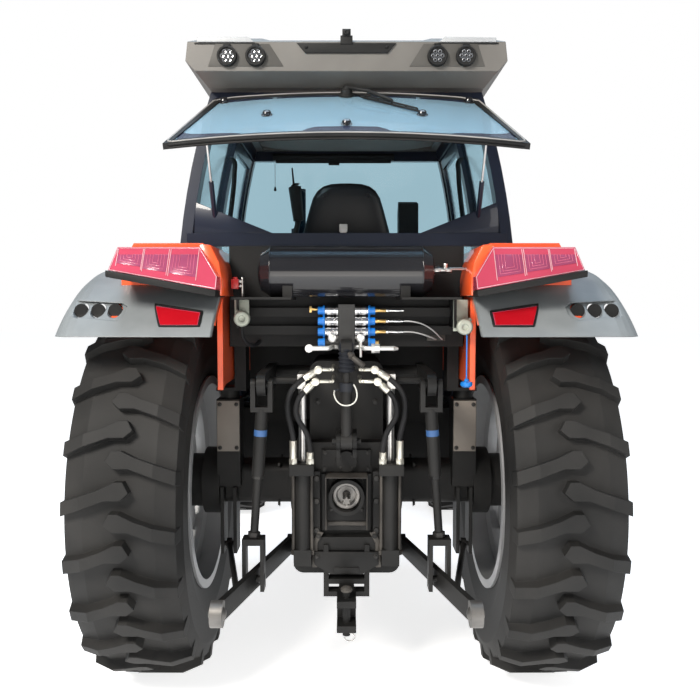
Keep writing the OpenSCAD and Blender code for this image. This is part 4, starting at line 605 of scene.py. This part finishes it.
cable_routes = {
    "middle": [(0.248, -0.400, 1.616), (0.266, -0.400, 1.616), (0.284, -0.399, 1.615), (0.302, -0.397, 1.612),
               (0.319, -0.394, 1.608), (0.335, -0.389, 1.603), (0.350, -0.383, 1.598), (0.363, -0.375, 1.593),
               (0.374, -0.366, 1.589), (0.383, -0.355, 1.585), (0.390, -0.343, 1.583), (0.395, -0.330, 1.581),
               (0.398, -0.317, 1.580), (0.400, -0.308, 1.580), (0.400, -0.300, 1.580)],
    "high": [(0.248, -0.400, 1.662), (0.268, -0.400, 1.662), (0.288, -0.399, 1.660), (0.308, -0.398, 1.656),
             (0.327, -0.396, 1.650), (0.345, -0.393, 1.642), (0.361, -0.388, 1.632), (0.376, -0.382, 1.621),
             (0.389, -0.374, 1.610), (0.400, -0.364, 1.600), (0.409, -0.353, 1.592), (0.416, -0.341, 1.586),
             (0.421, -0.328, 1.582), (0.424, -0.314, 1.580), (0.426, -0.300, 1.580)],
}
clamp = bmesh.new()
for name, route in cable_routes.items():
    end_z = route[0][2]
    points = [at(0.146, valve_y, end_z), at(0.197, valve_y, end_z), *(at(*place) for place in route)]
    cable = tube(f"valve_cable_{name}", points, 0.0032, cable_grey, "chassis")
    drum(clamp, points[-1] - forth * 0.010, points[-1] + forth * 0.004, 0.0065, sides=16)
bar(clamp, at(0.360, -0.304, 1.572), at(0.440, -0.276, 1.600))
make("cable_clamp", clamp, worn_black, "chassis")

# Pipes under the valves: two zinc-plated steel pipes with screwed ends, bent back clear of the lift
# arms, and two bright valve knobs on short stems, the right one with a lever.
silver = surface("silver", (0.74, 0.74, 0.72), (0.58, 0.58, 0.56), 0.34, 60, metal=0.6, bump=0.08)
pipework = bmesh.new()
low_z, low_y, low_r, knob_z, knob_x = 1.552, -0.525, 0.0098, 1.592, 0.060
for side, end in ((-1, 0.148), (1, 0.196)):
    bends = [
        (0.034, -0.420), (0.056, -0.424), (0.066, -0.440), (0.070, -0.500), (0.080, -0.518), (0.098, low_y),
        (end, low_y),
    ]
    for (x0, y0), (x1, y1) in zip(bends, bends[1:]):
        start = at(side * x0, y0, low_z)
        drum(pipework, start, at(side * x1, y1, low_z), low_r)
        bmesh.ops.create_icosphere(pipework, subdivisions=2, radius=low_r, matrix=Matrix.Translation(start))
    stem = side * knob_x
    drum(pipework, at(side * 0.034, -0.428, knob_z), at(stem, -0.470, knob_z), 0.006)
    lathe(
        pipework, at(stem, -0.464, knob_z), back,
        [(0, 0.010), (0.003, 0.016), (0.010, 0.0185), (0.017, 0.016), (0.021, 0.009)], 24,
    )
lathe(
    pipework, at(-0.156, -0.517, low_z), back,
    [(0, 0.008), (0, 0.0165), (0.016, 0.0165), (0.016, 0.008)], 24,
)
drum(pipework, at(0.196, low_y, low_z), at(0.214, -0.518, 1.550), 0.0105, 0.006)
drum(pipework, at(0.104, low_y, low_z), at(0.116, low_y, low_z), 0.020)
drum(pipework, at(0.116, low_y, low_z), at(0.138, low_y, low_z), 0.019, sides=6)
drum(pipework, at(knob_x, -0.474, 1.582), at(knob_x, -0.478, 1.512), 0.0075, 0.0055)
make("valve_pipes", pipework, silver, "chassis", 0)

# Air couplings for a trailer: cast heads hung from the ends of the shelf, the left one with a hose to
# the cab floor, the right one with a blue cap hanging from a string.
cast_alloy = surface("cast_alloy", (0.40, 0.42, 0.36), (0.28, 0.30, 0.25), 0.45, 50, metal=0.5, bump=0.25)
heads = bmesh.new()
for side, x, z in ((-1, -0.440, 1.675), (1, 0.498, 1.640)):
    lathe(
        heads, at(x, -0.418, z), back,
        [(0, 0.026), (0.050, 0.026), (0.054, 0.034), (0.074, 0.034), (0.080, 0.028), (0.080, 0.014),
         (0.072, 0.012)], 32,
    )
    drum(heads, at(x + side * 0.010, -0.450, z + 0.012), at(x + side * 0.030, -0.450, z + 0.034), 0.009)
    bar(heads, at(x - 0.040, -0.424, z - 0.020), at(x + 0.022, -0.412, 1.7545))
make("air_couplings", heads, cast_alloy, "chassis", 0.0006)
left_route = [
    (-0.443, -0.440, 1.665), (-0.445, -0.440, 1.653), (-0.446, -0.440, 1.641), (-0.447, -0.440, 1.629),
    (-0.447, -0.439, 1.617), (-0.446, -0.437, 1.605), (-0.443, -0.434, 1.594), (-0.439, -0.429, 1.584),
    (-0.434, -0.422, 1.575), (-0.428, -0.414, 1.568), (-0.422, -0.404, 1.562), (-0.416, -0.393, 1.558),
    (-0.410, -0.381, 1.556), (-0.405, -0.368, 1.556), (-0.400, -0.353, 1.557), (-0.396, -0.337, 1.560),
    (-0.393, -0.320, 1.563), (-0.391, -0.302, 1.566), (-0.390, -0.284, 1.568), (-0.390, -0.270, 1.568),
]
left_points = [at(*place) for place in left_route]
left_hose = tube("air_hose_left", left_points, 0.0085, hose_rubber, "chassis")
cap_x, cap_y = 0.506, -0.494
string_points = [at(cap_x, cap_y, 1.606 - 0.0125 * k) for k in range(16)]
cap_string = tube("cap_string", string_points, 0.003, cap_blue, "chassis")
cap = bmesh.new()
lathe(
    cap, at(cap_x, cap_y, 1.422), down,
    [(0, 0.006), (0.004, 0.010), (0.010, 0.010), (0.014, 0.024), (0.022, 0.026), (0.030, 0.024),
     (0.036, 0.016)], 28,
)
hanging_cap = make("hanging_cap", cap, cap_blue, "chassis", 0)

# Cab: a welded frame of folded sheet in black paint on a moulded floor tub, with gussets at the foot
# of the rear opening. The paint's blue cast is a painted sheen of the sky. Inside it are a moulded
# headliner, a roller blind, consoles with a lever and grab rails, and outside the door handles.
# Black paint with a blue cast that is a painted sheen of the sky.
cab_black_painted_sheen = surface(
    "cab_black_painted_sheen", (0.010, 0.014, 0.028), (0.007, 0.010, 0.020), 0.3, 30, bump=0.05, coat=0.3, edge=0.003
)
black_plastic = surface(
    "black_plastic", (0.014, 0.014, 0.014), (0.008, 0.008, 0.008), 0.55, 80, bump=0.3, edge=0.003
)
dress(cab_black_painted_sheen, "cab_frame", "door_left", "door_right", "cab_steps")
dress(black_plastic, "cab_floor", "steering_column", "steering_wheel")
gussets, sill_latch = bmesh.new(), bmesh.new()
gusset_y, gusset_t = -0.258, 0.016
gusset = [(0.690, 2.053), (0.330, 2.053), (0.672, 2.190)]
for side in (-1, 1):
    plate(gussets, [at(side * x, gusset_y, z) for x, z in gusset], forth * gusset_t)
bar(sill_latch, at(-0.032, -0.276, 2.058), at(0.004, -0.262, 2.092))
bar(sill_latch, at(-0.028, -0.282, 2.052), at(0.000, -0.270, 2.070))
make("cab_gussets", gussets, cab_black_painted_sheen, "chassis", 0.003)
make("sill_latch", sill_latch, seal_grey, "chassis", 0.002)
liner_pale = surface("liner_pale", (0.46, 0.45, 0.42), (0.40, 0.39, 0.36), 0.8, 60, bump=0.3)
liner = bmesh.new()
steps = 12
liner_half, liner_back, liner_len, liner_edge, liner_sag = 0.524, -0.06, 1.08, 2.702, 0.030
for row in range(2):
    for k in range(steps + 1):
        x = liner_half * (2 * k / steps - 1)
        z = liner_edge - liner_sag * (1 - (x / liner_half) ** 4)
        liner.verts.new(at(x, liner_back + liner_len * row, z))
liner.verts.ensure_lookup_table()
for k in range(steps):
    liner.faces.new([liner.verts[i] for i in (k, k + 1, steps + 2 + k, steps + 1 + k)])
bmesh.ops.solidify(liner, geom=liner.faces[:], thickness=0.006)
make("headliner", liner, liner_pale, "chassis", 0)
blind = bmesh.new()
blind_y, blind_z = 1.100, 2.652
drum(blind, at(-0.458, blind_y, blind_z), at(0.295, blind_y, blind_z), 0.019)
bar(blind, at(-0.440, 1.094, 2.612), at(0.277, 1.099, 2.650))
bar(blind, at(-0.112, 1.090, 2.600), at(-0.044, 1.102, 2.622))
for x in (-0.452, 0.289):
    bar(blind, at(x - 0.008, 1.092, 2.630), at(x + 0.008, 1.130, 2.668))
make("roller_blind", blind, black_plastic, "chassis")
pull_x, pull_y = -0.447, 1.102
pull_points = [at(pull_x, pull_y, 2.632 - 0.011 * k) for k in range(16)]
pull = tube("blind_cord", pull_points, 0.0015, cable_grey, "chassis")
pull_knob = bmesh.new()
lathe(
    pull_knob, at(pull_x, pull_y, 2.469), down,
    [(0, 0.003), (0.006, 0.005), (0.022, 0.009), (0.028, 0.006)], 20,
)
pull_end = make("blind_knob", pull_knob, black_plastic, "chassis", 0)
consoles = bmesh.new()
tub_top, lever_y = 1.565, 0.50
for x, width, side_line in (
    (-0.440, 0.150, ((0.10, tub_top), (0.80, tub_top), (0.80, 1.84), (0.62, 1.92), (0.10, 1.90))),
    (0.290, 0.150, ((0.10, tub_top), (0.80, tub_top), (0.80, 1.88), (0.62, 1.98), (0.10, 1.94))),
    (0.285, 0.105, ((0.44, 1.96), (0.58, 1.96), (0.60, 2.24), (0.55, 2.30), (0.46, 2.28))),
):
    plate(consoles, [at(x, y, z) for y, z in side_line], Vector((width, 0, 0)))
for x0, z0, x1, z1, r0, r1, sides in (
    (-0.330, 1.90, -0.262, 2.200, 0.020, 0.014, 24), (-0.262, 2.190, -0.283, 2.375, 0.030, 0.036, 8),
    (-0.283, 2.375, -0.293, 2.390, 0.036, 0.010, 8), (-0.288, 2.380, -0.297, 2.478, 0.006, 0.004, 12),
):
    drum(consoles, at(x0, lever_y, z0), at(x1, lever_y, z1), r0, r1, sides)
make("consoles", consoles, black_plastic, "chassis", 0.012)
rail_points = [
    (0.628, 0.452, 2.52), (0.604, 0.44, 2.50), (0.598, 0.41, 2.44), (0.602, 0.33, 2.26),
    (0.612, 0.30, 2.16), (0.628, 0.31, 2.10), (0.655, 0.335, 2.062), (0.692, 0.345, 2.048),
]
for side, hand in ((-1, "left"), (1, "right")):
    rail = [at(side * x, y, z) for x, y, z in rail_points]
    tube(f"grab_rail_{hand}", rail, 0.013, black_plastic, "chassis")
    handle = bmesh.new()
    for z in (1.905, 2.005):
        drum(handle, at(side * 0.731, 0.537, z), at(side * 0.768, 0.537, z), 0.009, sides=16)
    grip = [(0.524, 1.885), (0.550, 1.885), (0.550, 2.025), (0.524, 2.025)]
    plate(handle, [at(side * 0.762, y, z) for y, z in grip], Vector((side * 0.012, 0, 0)))
    make(f"door_handle_{hand}", handle, black_plastic, f"door_{hand}", 0.003)

# Driver's seat: foam cushions in black cloth on a plastic pan, with a moulded back shell that narrows
# to a round top. It stands on a suspension box bolted to the floor.
seat_cloth = surface("seat_cloth", (0.024, 0.024, 0.026), (0.014, 0.014, 0.015), 0.85, 120, bump=0.8)
shell_black = surface("shell_black", (0.008, 0.008, 0.009), (0.005, 0.005, 0.0055), 0.36, 60, bump=0.1)


def bag(shape, levels, power, around=40):
    """Adds a closed rounded form through levels of (middle, half width, half depth)."""
    rings = []
    for middle, half_w, half_d in levels:
        ring = []
        for k in range(around):
            c, s = math.cos(math.tau * k / around), math.sin(math.tau * k / around)
            ring.append(shape.verts.new(middle + Vector((
                half_w * math.copysign(abs(c) ** power, c), half_d * math.copysign(abs(s) ** power, s), 0
            ))))
        rings.append(ring)
    wrap(shape, rings)


back_widths = [
    (1.670, 0.170), (1.676, 0.205), (1.700, 0.226), (1.780, 0.240), (1.900, 0.244), (2.000, 0.232),
    (2.100, 0.209), (2.200, 0.181), (2.250, 0.165), (2.285, 0.143), (2.306, 0.115), (2.317, 0.080),
    (2.320, 0.040),
]


def lean(z):
    """How far forward the middle of the seat's back stands at a height."""
    return 0.150 - 0.07 * (z - 1.65) / 0.68


shell, back_pad, seat_pad, pan = bmesh.new(), bmesh.new(), bmesh.new(), bmesh.new()
bag(shell, [(at(0, lean(z) - 0.022, z), w, 0.044 * min(1, 0.35 + w * 4)) for z, w in back_widths], 0.55)
for x in (-0.105, 0.105):
    drum(shell, at(x, lean(2.26) - 0.058, 2.262), at(x, lean(2.26) - 0.070, 2.262), 0.011, 0.009)
padding = []
for z, w in back_widths:
    roll = 0.046 + 0.012 * math.sin(z * 24)
    padding.append((at(0, lean(z) + 0.022, z), w * 0.94, roll * min(1, 0.3 + w * 4)))
bag(back_pad, padding, 0.6)
cushion_levels = [
    (1.668, 0.215, 0.190), (1.676, 0.238, 0.212), (1.700, 0.247, 0.222), (1.740, 0.248, 0.224),
    (1.765, 0.240, 0.216), (1.780, 0.215, 0.192), (1.789, 0.160, 0.140), (1.792, 0.080, 0.070),
]
bag(seat_pad, [(at(0, 0.330, z), w, d) for z, w, d in cushion_levels], 0.45)
pan_levels = [
    (1.564, 0.150, 0.150), (1.574, 0.160, 0.160), (1.630, 0.160, 0.160), (1.645, 0.225, 0.210),
    (1.668, 0.235, 0.215), (1.674, 0.22, 0.20),
]
bag(pan, [(at(0, 0.320, z), w, d) for z, w, d in pan_levels], 0.35)
shell_piece = make("seat_shell", shell, shell_black, "chassis", 0, 60)
back_piece = make("seat_back_cushion", back_pad, seat_cloth, "chassis", 0, 80)
seat_piece = make("seat_cushion", seat_pad, seat_cloth, "chassis", 0, 80)
pan_piece = make("seat_pan", pan, black_plastic, "chassis", 0.002)
for piece in (shell_piece, back_piece, seat_piece, pan_piece):
    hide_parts("seat")

# Fixed glass and door glass: flat and curved panes of tempered glass, bonded to the frame and hung in
# the doors. Their blue-green colour is partly the glass's own and partly a painted reflection of the sky.


def pane(name, colour_and_sky_reflection, clear, bend):
    """Thin glass with a faint unevenness of its surface; its colour is partly its own, partly painted
    reflection.
    """
    look = surface(name, colour_and_sky_reflection, tuple(0.92 * part for part in colour_and_sky_reflection), 0.08, 8, bump=0.01)
    put(look.node_tree.nodes["Principled BSDF"], Transmission_Weight=clear, IOR=bend)
    return look


# The cab glass's blue-green is partly its own colour and partly a painted reflection of the sky.
cab_pane = pane("cab_pane", (0.34, 0.52, 0.60), 1.0, 1.12)
dress(cab_pane, "fixed_glass", "door_glass_left", "door_glass_right")

# Rear window: one curved pane in a thick rubber seal, hung from two hinges and held open by gas struts.
# Round screw knobs hold it, a wiper lies on it, and a dark printed border fills its lower corners.
seal_rubber = surface(
    "seal_rubber", (0.012, 0.012, 0.012), (0.007, 0.007, 0.007), 0.5, 60, bump=0.1, edge=0.004
)
# The pale grey of the line just inside the seal is a painted highlight along the seal's inner edge.
seal_painted_highlight = surface("seal_painted_highlight", (0.30, 0.29, 0.28), (0.20, 0.195, 0.19), 0.5, 60, bump=0.1)
frit = surface("frit", (0.016, 0.022, 0.050), (0.010, 0.015, 0.036), 0.2, 40, bump=0.05, coat=0.4)
# The rear pane's pale blue, part of it opaque, is partly the glass's own colour and partly a painted
# reflection of the sky.
window_pane = pane("window_pane", (0.44, 0.66, 0.80), 0.62, 1.5)
dress(seal_rubber, "rear_window_seal")
dress(window_pane, "rear_window_glass")
dress(cab_black_painted_sheen, "strut_barrels")
dress(bare_steel, "strut_rods")
window_hinge, window_tilt = (-0.205, 2.630), math.radians(30)
window_half, window_top_half, window_top, window_end = 0.700, 0.585, 0.030, 0.610
seal_w, seal_t, pane_face = 0.034, 0.024, 0.019


def on_window(x, along, out):
    """A place on the open window: across, down from the hinge, and out from its curved face."""
    rise = 0.040 * (1 - (x / window_half) ** 2) + out
    return at(
        x, window_hinge[0] - along * math.cos(window_tilt) - rise * math.sin(window_tilt),
        window_hinge[1] - along * math.sin(window_tilt) + rise * math.cos(window_tilt),
    )


def lines(name, paths, radius, look, body, closed=False):
    """Shows thin round beads along straight-cornered paths, all in one curve."""
    line = round_curve(name, radius, 2)
    for path in paths:
        spline = line.splines.new("POLY")
        spline.points.add(len(path) - 1)
        spline.use_cyclic_u = closed
        for knot, place in zip(spline.points, path):
            knot.co = (*place, 1)
    return show(name, line, look, body)


def side_at(along, inset):
    """Half the window's width at a distance down from the hinge."""
    share = (along - window_top) / (window_end - window_top)
    return window_top_half + (window_half - window_top_half) * share - inset


def window_ring(inset, out, corner=0.030):
    """The window's outline at an inset, with rounded corners."""
    low, high = window_top + inset, window_end - inset
    length = high - low
    stations = (low + corner, low + 0.3 * length, low + 0.7 * length, high - corner)
    right = [(side_at(a, inset), a) for a in stations]
    foot = side_at(high, inset)
    right += [(foot - corner * 0.3, high - corner * 0.3), (foot - corner, high)]
    bottom = [(foot * k / 8, high) for k in range(7, -8, -1) if abs(foot * k / 8) < foot - corner]
    top = [(side_at(low, inset) * k / 8, low) for k in range(-7, 8)]
    outline = right + bottom + [(-x, a) for x, a in right[::-1]] + top
    return [on_window(x, a, out) for x, a in outline]


# A painted highlight: a pale grey bead along the inner edge of the seal.
seal_highlight_rings = [window_ring(0.008, seal_t + 0.0005)]
lines("window_seal_highlight", seal_highlight_rings, 0.0035, seal_painted_highlight, "rear_window", closed=True)
seal_ribs = [window_ring(-0.001, 0.005), window_ring(-0.001, 0.017)]
lines("window_seal_ribs", seal_ribs, 0.005, seal_rubber, "rear_window", closed=True)


def pane_patch(shape, edge):
    """Adds a thin printed patch on the pane: triples of (across, from, to)."""
    parts = 4
    columns = []
    for x, a0, a1 in edge:
        spots = [on_window(x, a0 + (a1 - a0) * k / parts, pane_face + 0.0008) for k in range(parts + 1)]
        columns.append([shape.verts.new(spot) for spot in spots])
    for one, other in zip(columns, columns[1:]):
        for k in range(parts):
            shape.faces.new((one[k], other[k], other[k + 1], one[k + 1]))


printed = bmesh.new()
low_edge = window_end - seal_w
corner_print = [
    (0.655, 0.470), (0.630, 0.495), (0.600, 0.512), (0.560, 0.524), (0.500, 0.534), (0.440, 0.544),
    (0.390, 0.566), (0.375, 0.575),
]
top_print, top_edge = [(0.0, 0.020), (0.2, 0.020), (0.4, 0.024), (0.548, 0.034)], 0.066
middle_print = [
    (-0.180, 0.572), (-0.150, 0.535), (-0.120, 0.512), (0.0, 0.508), (0.120, 0.512), (0.150, 0.535),
    (0.180, 0.572),
]
for side in (-1, 1):
    pane_patch(printed, [(side * x, a, low_edge) for x, a in corner_print])
    pane_patch(printed, [(side * x, top_edge, top_edge + w) for x, w in top_print])
pane_patch(printed, [(x, a, low_edge) for x, a in middle_print])
make("window_print", printed, frit, "rear_window", 0)
knobs = bmesh.new()
out_way = Vector((0, -math.sin(window_tilt), math.cos(window_tilt)))
for x, a in ((-0.326, 0.330), (0.310, 0.330), (0.0, 0.482), (-0.535, 0.085), (0.535, 0.085)):
    lathe(
        knobs, on_window(x, a, pane_face - 0.0005), out_way,
        [(0, 0.023), (0.003, 0.023), (0.005, 0.018), (0.012, 0.018), (0.018, 0.014), (0.021, 0.006)], 28,
    )
make("window_knobs", knobs, gloss_black, "rear_window", 0)
wiper = bmesh.new()
lathe(
    wiper, on_window(0.0, 0.070, pane_face - 0.001), out_way,
    [(0, 0.034), (0.010, 0.034), (0.014, 0.026), (0.030, 0.024), (0.034, 0.016), (0.044, 0.014)], 28,
)
arm_route = [(0.0, 0.070, 0.038), (0.090, 0.140, 0.040), (0.190, 0.226, 0.026)]
arm = [on_window(x, a, pane_face + out) for x, a, out in arm_route]
for one, other in zip(arm, arm[1:]):
    drum(wiper, one, other, 0.009, 0.007, 12)
blade = [on_window(0.060, 0.118, pane_face + 0.010), on_window(0.310, 0.322, pane_face + 0.010)]
drum(wiper, blade[0], blade[1], 0.005, sides=8)
spine = [b + out_way * 0.010 for b in blade]
drum(wiper, spine[0].lerp(spine[1], 0.08), spine[0].lerp(spine[1], 0.92), 0.004, sides=8)
for share in (0.08, 0.30, 0.52, 0.74, 0.92):
    drum(wiper, blade[0].lerp(blade[1], share), spine[0].lerp(spine[1], share), 0.005, sides=8)
drum(wiper, arm[-1], spine[0].lerp(spine[1], 0.52), 0.007, sides=8)
make("window_wiper", wiper, black_plastic, "rear_window", 0.0006)

# Roof: a moulded shell of grey-brown plastic with raised side pods. Four round work lamps in black
# bezels sit in shallow recesses, with a bare black plate and a small camera between them. The
# recesses are drawn as thin plates a little darker than the roof, as painted shade.
roof_grey = surface(
    "roof_grey", (0.122, 0.115, 0.105), (0.100, 0.094, 0.086), 0.5, 60, bump=0.12, edge=0.006
)
# Painted shade: the recesses' darker grey of the same plastic.
recess_painted_shade = surface("recess_painted_shade", (0.078, 0.074, 0.068), (0.062, 0.059, 0.054), 0.5, 60, bump=0.12)
strip_grey = surface("strip_grey", (0.36, 0.37, 0.38), (0.30, 0.31, 0.32), 0.4, 40, bump=0.05)
lamp_clear = surface("lamp_clear", (0.80, 0.80, 0.78), (0.60, 0.60, 0.60), 0.15, 40, bump=0.05)
dress(roof_grey, "cab_roof")
dress(lamp_clear, "roof_lamps")
roof_face = -0.360
lamp_xs, lamp_z = (0.388, 0.510), 2.792
trim, recess_shade_plates, strips, bezels, diodes = bmesh.new(), bmesh.new(), bmesh.new(), bmesh.new(), bmesh.new()
bare_plate = [(-0.212, 2.848), (0.212, 2.848), (0.176, 2.806), (-0.176, 2.806)]
plate(trim, [at(x, roof_face, z) for x, z in bare_plate], back * 0.008)
for x in (-0.172, 0.172):
    bolt(trim, at(x, roof_face - 0.008, 2.830), back, 0.005)
bar(trim, at(-0.026, -0.340, 2.842), at(0.026, -0.372, 2.878))
bar(trim, at(-0.018, -0.340, 2.874), at(0.018, -0.376, 2.904))
lathe(
    trim, at(0, -0.374, 2.888), back,
    [(0, 0.012), (0.008, 0.012), (0.010, 0.009), (0.010, 0.006), (0.007, 0.005)], 20,
)
recess = [(0.592, 2.752), (0.562, 2.846), (0.330, 2.846), (0.270, 2.752)]
strip = [(0.640, 2.853), (0.640, 2.872), (0.420, 2.876), (0.396, 2.853)]
for side in (-1, 1):
    plate(recess_shade_plates, [at(side * x, roof_face, z) for x, z in recess], back * 0.003)
    plate(strips, [at(side * x, roof_face + 0.012, z) for x, z in strip], back * 0.018)
    bar(trim, at(side * 0.650, roof_face, 2.844), at(side * 0.390, roof_face - 0.003, 2.851))
    for x in lamp_xs:
        centre = at(side * x, roof_face, lamp_z)
        lathe(
            bezels, centre + back * 0.001, back,
            [(0, 0.0365), (0, 0.043), (0.018, 0.043), (0.022, 0.040), (0.022, 0.034), (0.0165, 0.032)], 36,
        )
        bar(bezels, centre + Vector((-0.014, -0.002, 0.038)), centre + Vector((0.014, -0.016, 0.052)))
        for k in range(7):
            turn = math.tau * k / 6
            reach_out = 0.0 if k == 6 else 0.020
            place = centre + Vector((reach_out * math.cos(turn), -0.0150, reach_out * math.sin(turn)))
            lathe(diodes, place, back, [(0, 0.0090), (0.003, 0.0090), (0.003, 0.0065), (0.0012, 0.0030)], 16)
make("roof_trim", trim, black_plastic, "chassis")
make("roof_recess_shade", recess_shade_plates, recess_painted_shade, "chassis", 0.001)
make("roof_strips", strips, strip_grey, "chassis", 0.003)
make("lamp_bezels", bezels, black_plastic, "chassis", 0)
make("lamp_diodes", diodes, chrome, "chassis", 0)

# Fenders and hood: pressed sheet in orange red gloss paint under a clear coat, the fenders bolted to
# the cab. A shoulder of the same sheet closes the inner corner beside each rear light.
body_red = surface(
    "body_red", (0.86, 0.108, 0.026), (0.76, 0.086, 0.020), 0.3, 12, bump=0.03, coat=0.6, edge=0.008
)
dress(body_red, "fenders", "hood")
shoulders = bmesh.new()
shoulder_y, shoulder_len = -0.602, 0.300
shoulder = [
    (0.592, 1.978), (0.548, 1.975), (0.514, 1.905), (0.503, 1.840), (0.503, 1.770), (0.532, 1.770),
    (0.534, 1.845), (0.600, 1.955),
]
for side in (-1, 1):
    plate(shoulders, [at(side * x, shoulder_y, z) for x, z in shoulder], forth * shoulder_len)
make("fender_shoulders", shoulders, body_red, "chassis", 0.006)

# Round the hood: moulded grilles, fuel tank and battery box in black plastic, clear head lamps, and a
# welded steel exhaust stack in black paint, whose blue cast is a painted sheen of the sky.
dress(black_plastic, "hood_grille", "fuel_tank", "battery_box")
dress(lamp_clear, "head_lamps")
dress(cab_black_painted_sheen, "exhaust_stack")

# Outer fender skins: grey grained plastic, clipped over the red fenders. Each has three round vents,
# closed from behind by black plastic cups.
skin_grey = surface(
    "skin_grey", (0.215, 0.232, 0.240), (0.175, 0.190, 0.198), 0.42, 90, bump=0.2, edge=0.008
)
dress(skin_grey, "fender_skins")
skin_r, vent_z, vent_xs, vent_depth = 1.0353, 1.709, (0.938, 1.007, 1.076), 0.0140


def on_skin(side, x, z, out):
    """A place on the round back of a fender skin, which is centred on the rear axle."""
    return at(side * x, -math.sqrt((skin_r + out) ** 2 - (z - axle_z) ** 2), z)


vent_backs = bmesh.new()
for side in (-1, 1):
    for x in vent_xs:
        foot = on_skin(side, x, vent_z, -vent_depth)
        lathe(
            vent_backs, foot, on_skin(side, x, vent_z, 0) - foot,
            [(0, 0.0287), (0.005, 0.0287), (0.005, 0.0255), (0.004, 0.0235), (0.004, 0.0080)], 32,
        )
make("vent_backs", vent_backs, black_plastic, "chassis", 0)

# Rear lights: moulded lenses in rose red with a clear rim, three stepped panels each, on a black base.
# A flat red reflector with a black frame is stuck to the skin below.
red_lens = surface(
    "red_lens", (0.48, 0.056, 0.106), (0.40, 0.042, 0.080), 0.14, 30, bump=0.03, coat=0.7, edge=0.004
)
panel_red = surface("panel_red", (0.30, 0.055, 0.125), (0.24, 0.042, 0.100), 0.2, 60, bump=0.05, coat=0.6)
panel_pale = surface("panel_pale", (0.52, 0.110, 0.190), (0.44, 0.085, 0.150), 0.2, 60, bump=0.05, coat=0.6)
clear_rim = surface("clear_rim", (0.66, 0.40, 0.44), (0.56, 0.30, 0.34), 0.15, 60, bump=0.02, coat=0.6)
dress(red_lens, "rear_lights")
lens_low, lens_high = 1.792, 1.965


def on_lens(side, x, z, out):
    """A place on the sloping face of a rear light, a little out from it."""
    return at(side * x, -0.715 + (z - lens_low) * 0.110 / (lens_high - lens_low) - out, z)


bases, panels = bmesh.new(), bmesh.new()
base_y, base_len, panel_top, rim_top, slope = -0.709, 0.240, 1.934, 1.956, 0.174 * 0.9
base_line = [(0.510, 1.791), (0.940, 1.868), (0.940, 1.842), (0.512, 1.764)]
lens_line = [(0.511, 1.797), (0.511, 1.843), (0.590, 1.961), (0.917, 1.961), (0.938, 1.872), (0.511, 1.797)]
rim_paths, pale_paths = [], []
for side in (-1, 1):
    plate(bases, [at(side * x, base_y, z) for x, z in base_line], forth * base_len)
    rim_paths.append([on_lens(side, x, z, 0.001) for x, z in lens_line])
    for x0, x1, foot in ((0.817, 0.912, 1.884), (0.713, 0.806, 1.862), (0.594, 0.700, 1.842)):
        panel = [(x0, panel_top), (x1, panel_top), (x1, foot + slope * (x1 - x0)), (x0, foot)]
        plate(panels, [on_lens(side, x, z, -0.001) for x, z in panel], back * 0.003)
        for x in (x0 - 0.003, x1 + 0.003):
            rim_foot = foot - 0.012 + slope * (x - x0)
            rim_paths.append([on_lens(side, x, rim_top, 0.001), on_lens(side, x, rim_foot, 0.001)])
        for k in range(1, 4):
            inset = 0.012 * k
            far_foot = foot + inset + slope * (x1 - x0 - 2 * inset)
            step = [(x0 + inset, panel_top), (x0 + inset, foot + inset), (x1 - inset, far_foot),
                    (x1 - inset, panel_top)]
            pale_paths.append([on_lens(side, x, z, 0.0025) for x, z in step])
make("light_bases", bases, black_plastic, "chassis", 0.003)
make("light_panels", panels, panel_red, "chassis", 0.0008)
lines("light_rims", rim_paths, 0.0017, clear_rim, "chassis")
lines("light_steps", pale_paths, 0.0017, panel_pale, "chassis")
signal_red = surface("signal_red", (0.44, 0.006, 0.014), (0.36, 0.004, 0.010), 0.15, 60, bump=0.05, coat=0.7)
reflectors = bmesh.new()
frames = []
strips_up, face_out, frame_out, face_foot = 6, 0.0098, 0.002, 1.656
corners = [(0.581, 1.650), (0.581, 1.706), (0.779, 1.735), (0.736, 1.650)]
for side in (-1, 1):
    for k in range(strips_up):
        (a, b), (c, d) = [
            [(0.588, face_foot + 0.045 * share), (0.732 + 0.037 * share, face_foot + 0.070 * share)]
            for share in (k / strips_up, (k + 1) / strips_up)
        ]
        reflectors.faces.new([reflectors.verts.new(on_skin(side, x, z, face_out)) for x, z in (a, b, d, c)])
    ring = []
    for (x0, z0), (x1, z1) in zip(corners, corners[1:] + corners[:1]):
        for k in range(6):
            ring.append(on_skin(side, x0 + (x1 - x0) * k / 6, z0 + (z1 - z0) * k / 6, frame_out))
    frames.append(ring)
bmesh.ops.remove_doubles(reflectors, verts=reflectors.verts, dist=0.0005)
make("reflector_faces", reflectors, signal_red, "chassis", 0)
lines("reflector_frames", frames, 0.0055, black_plastic, "chassis", closed=True)
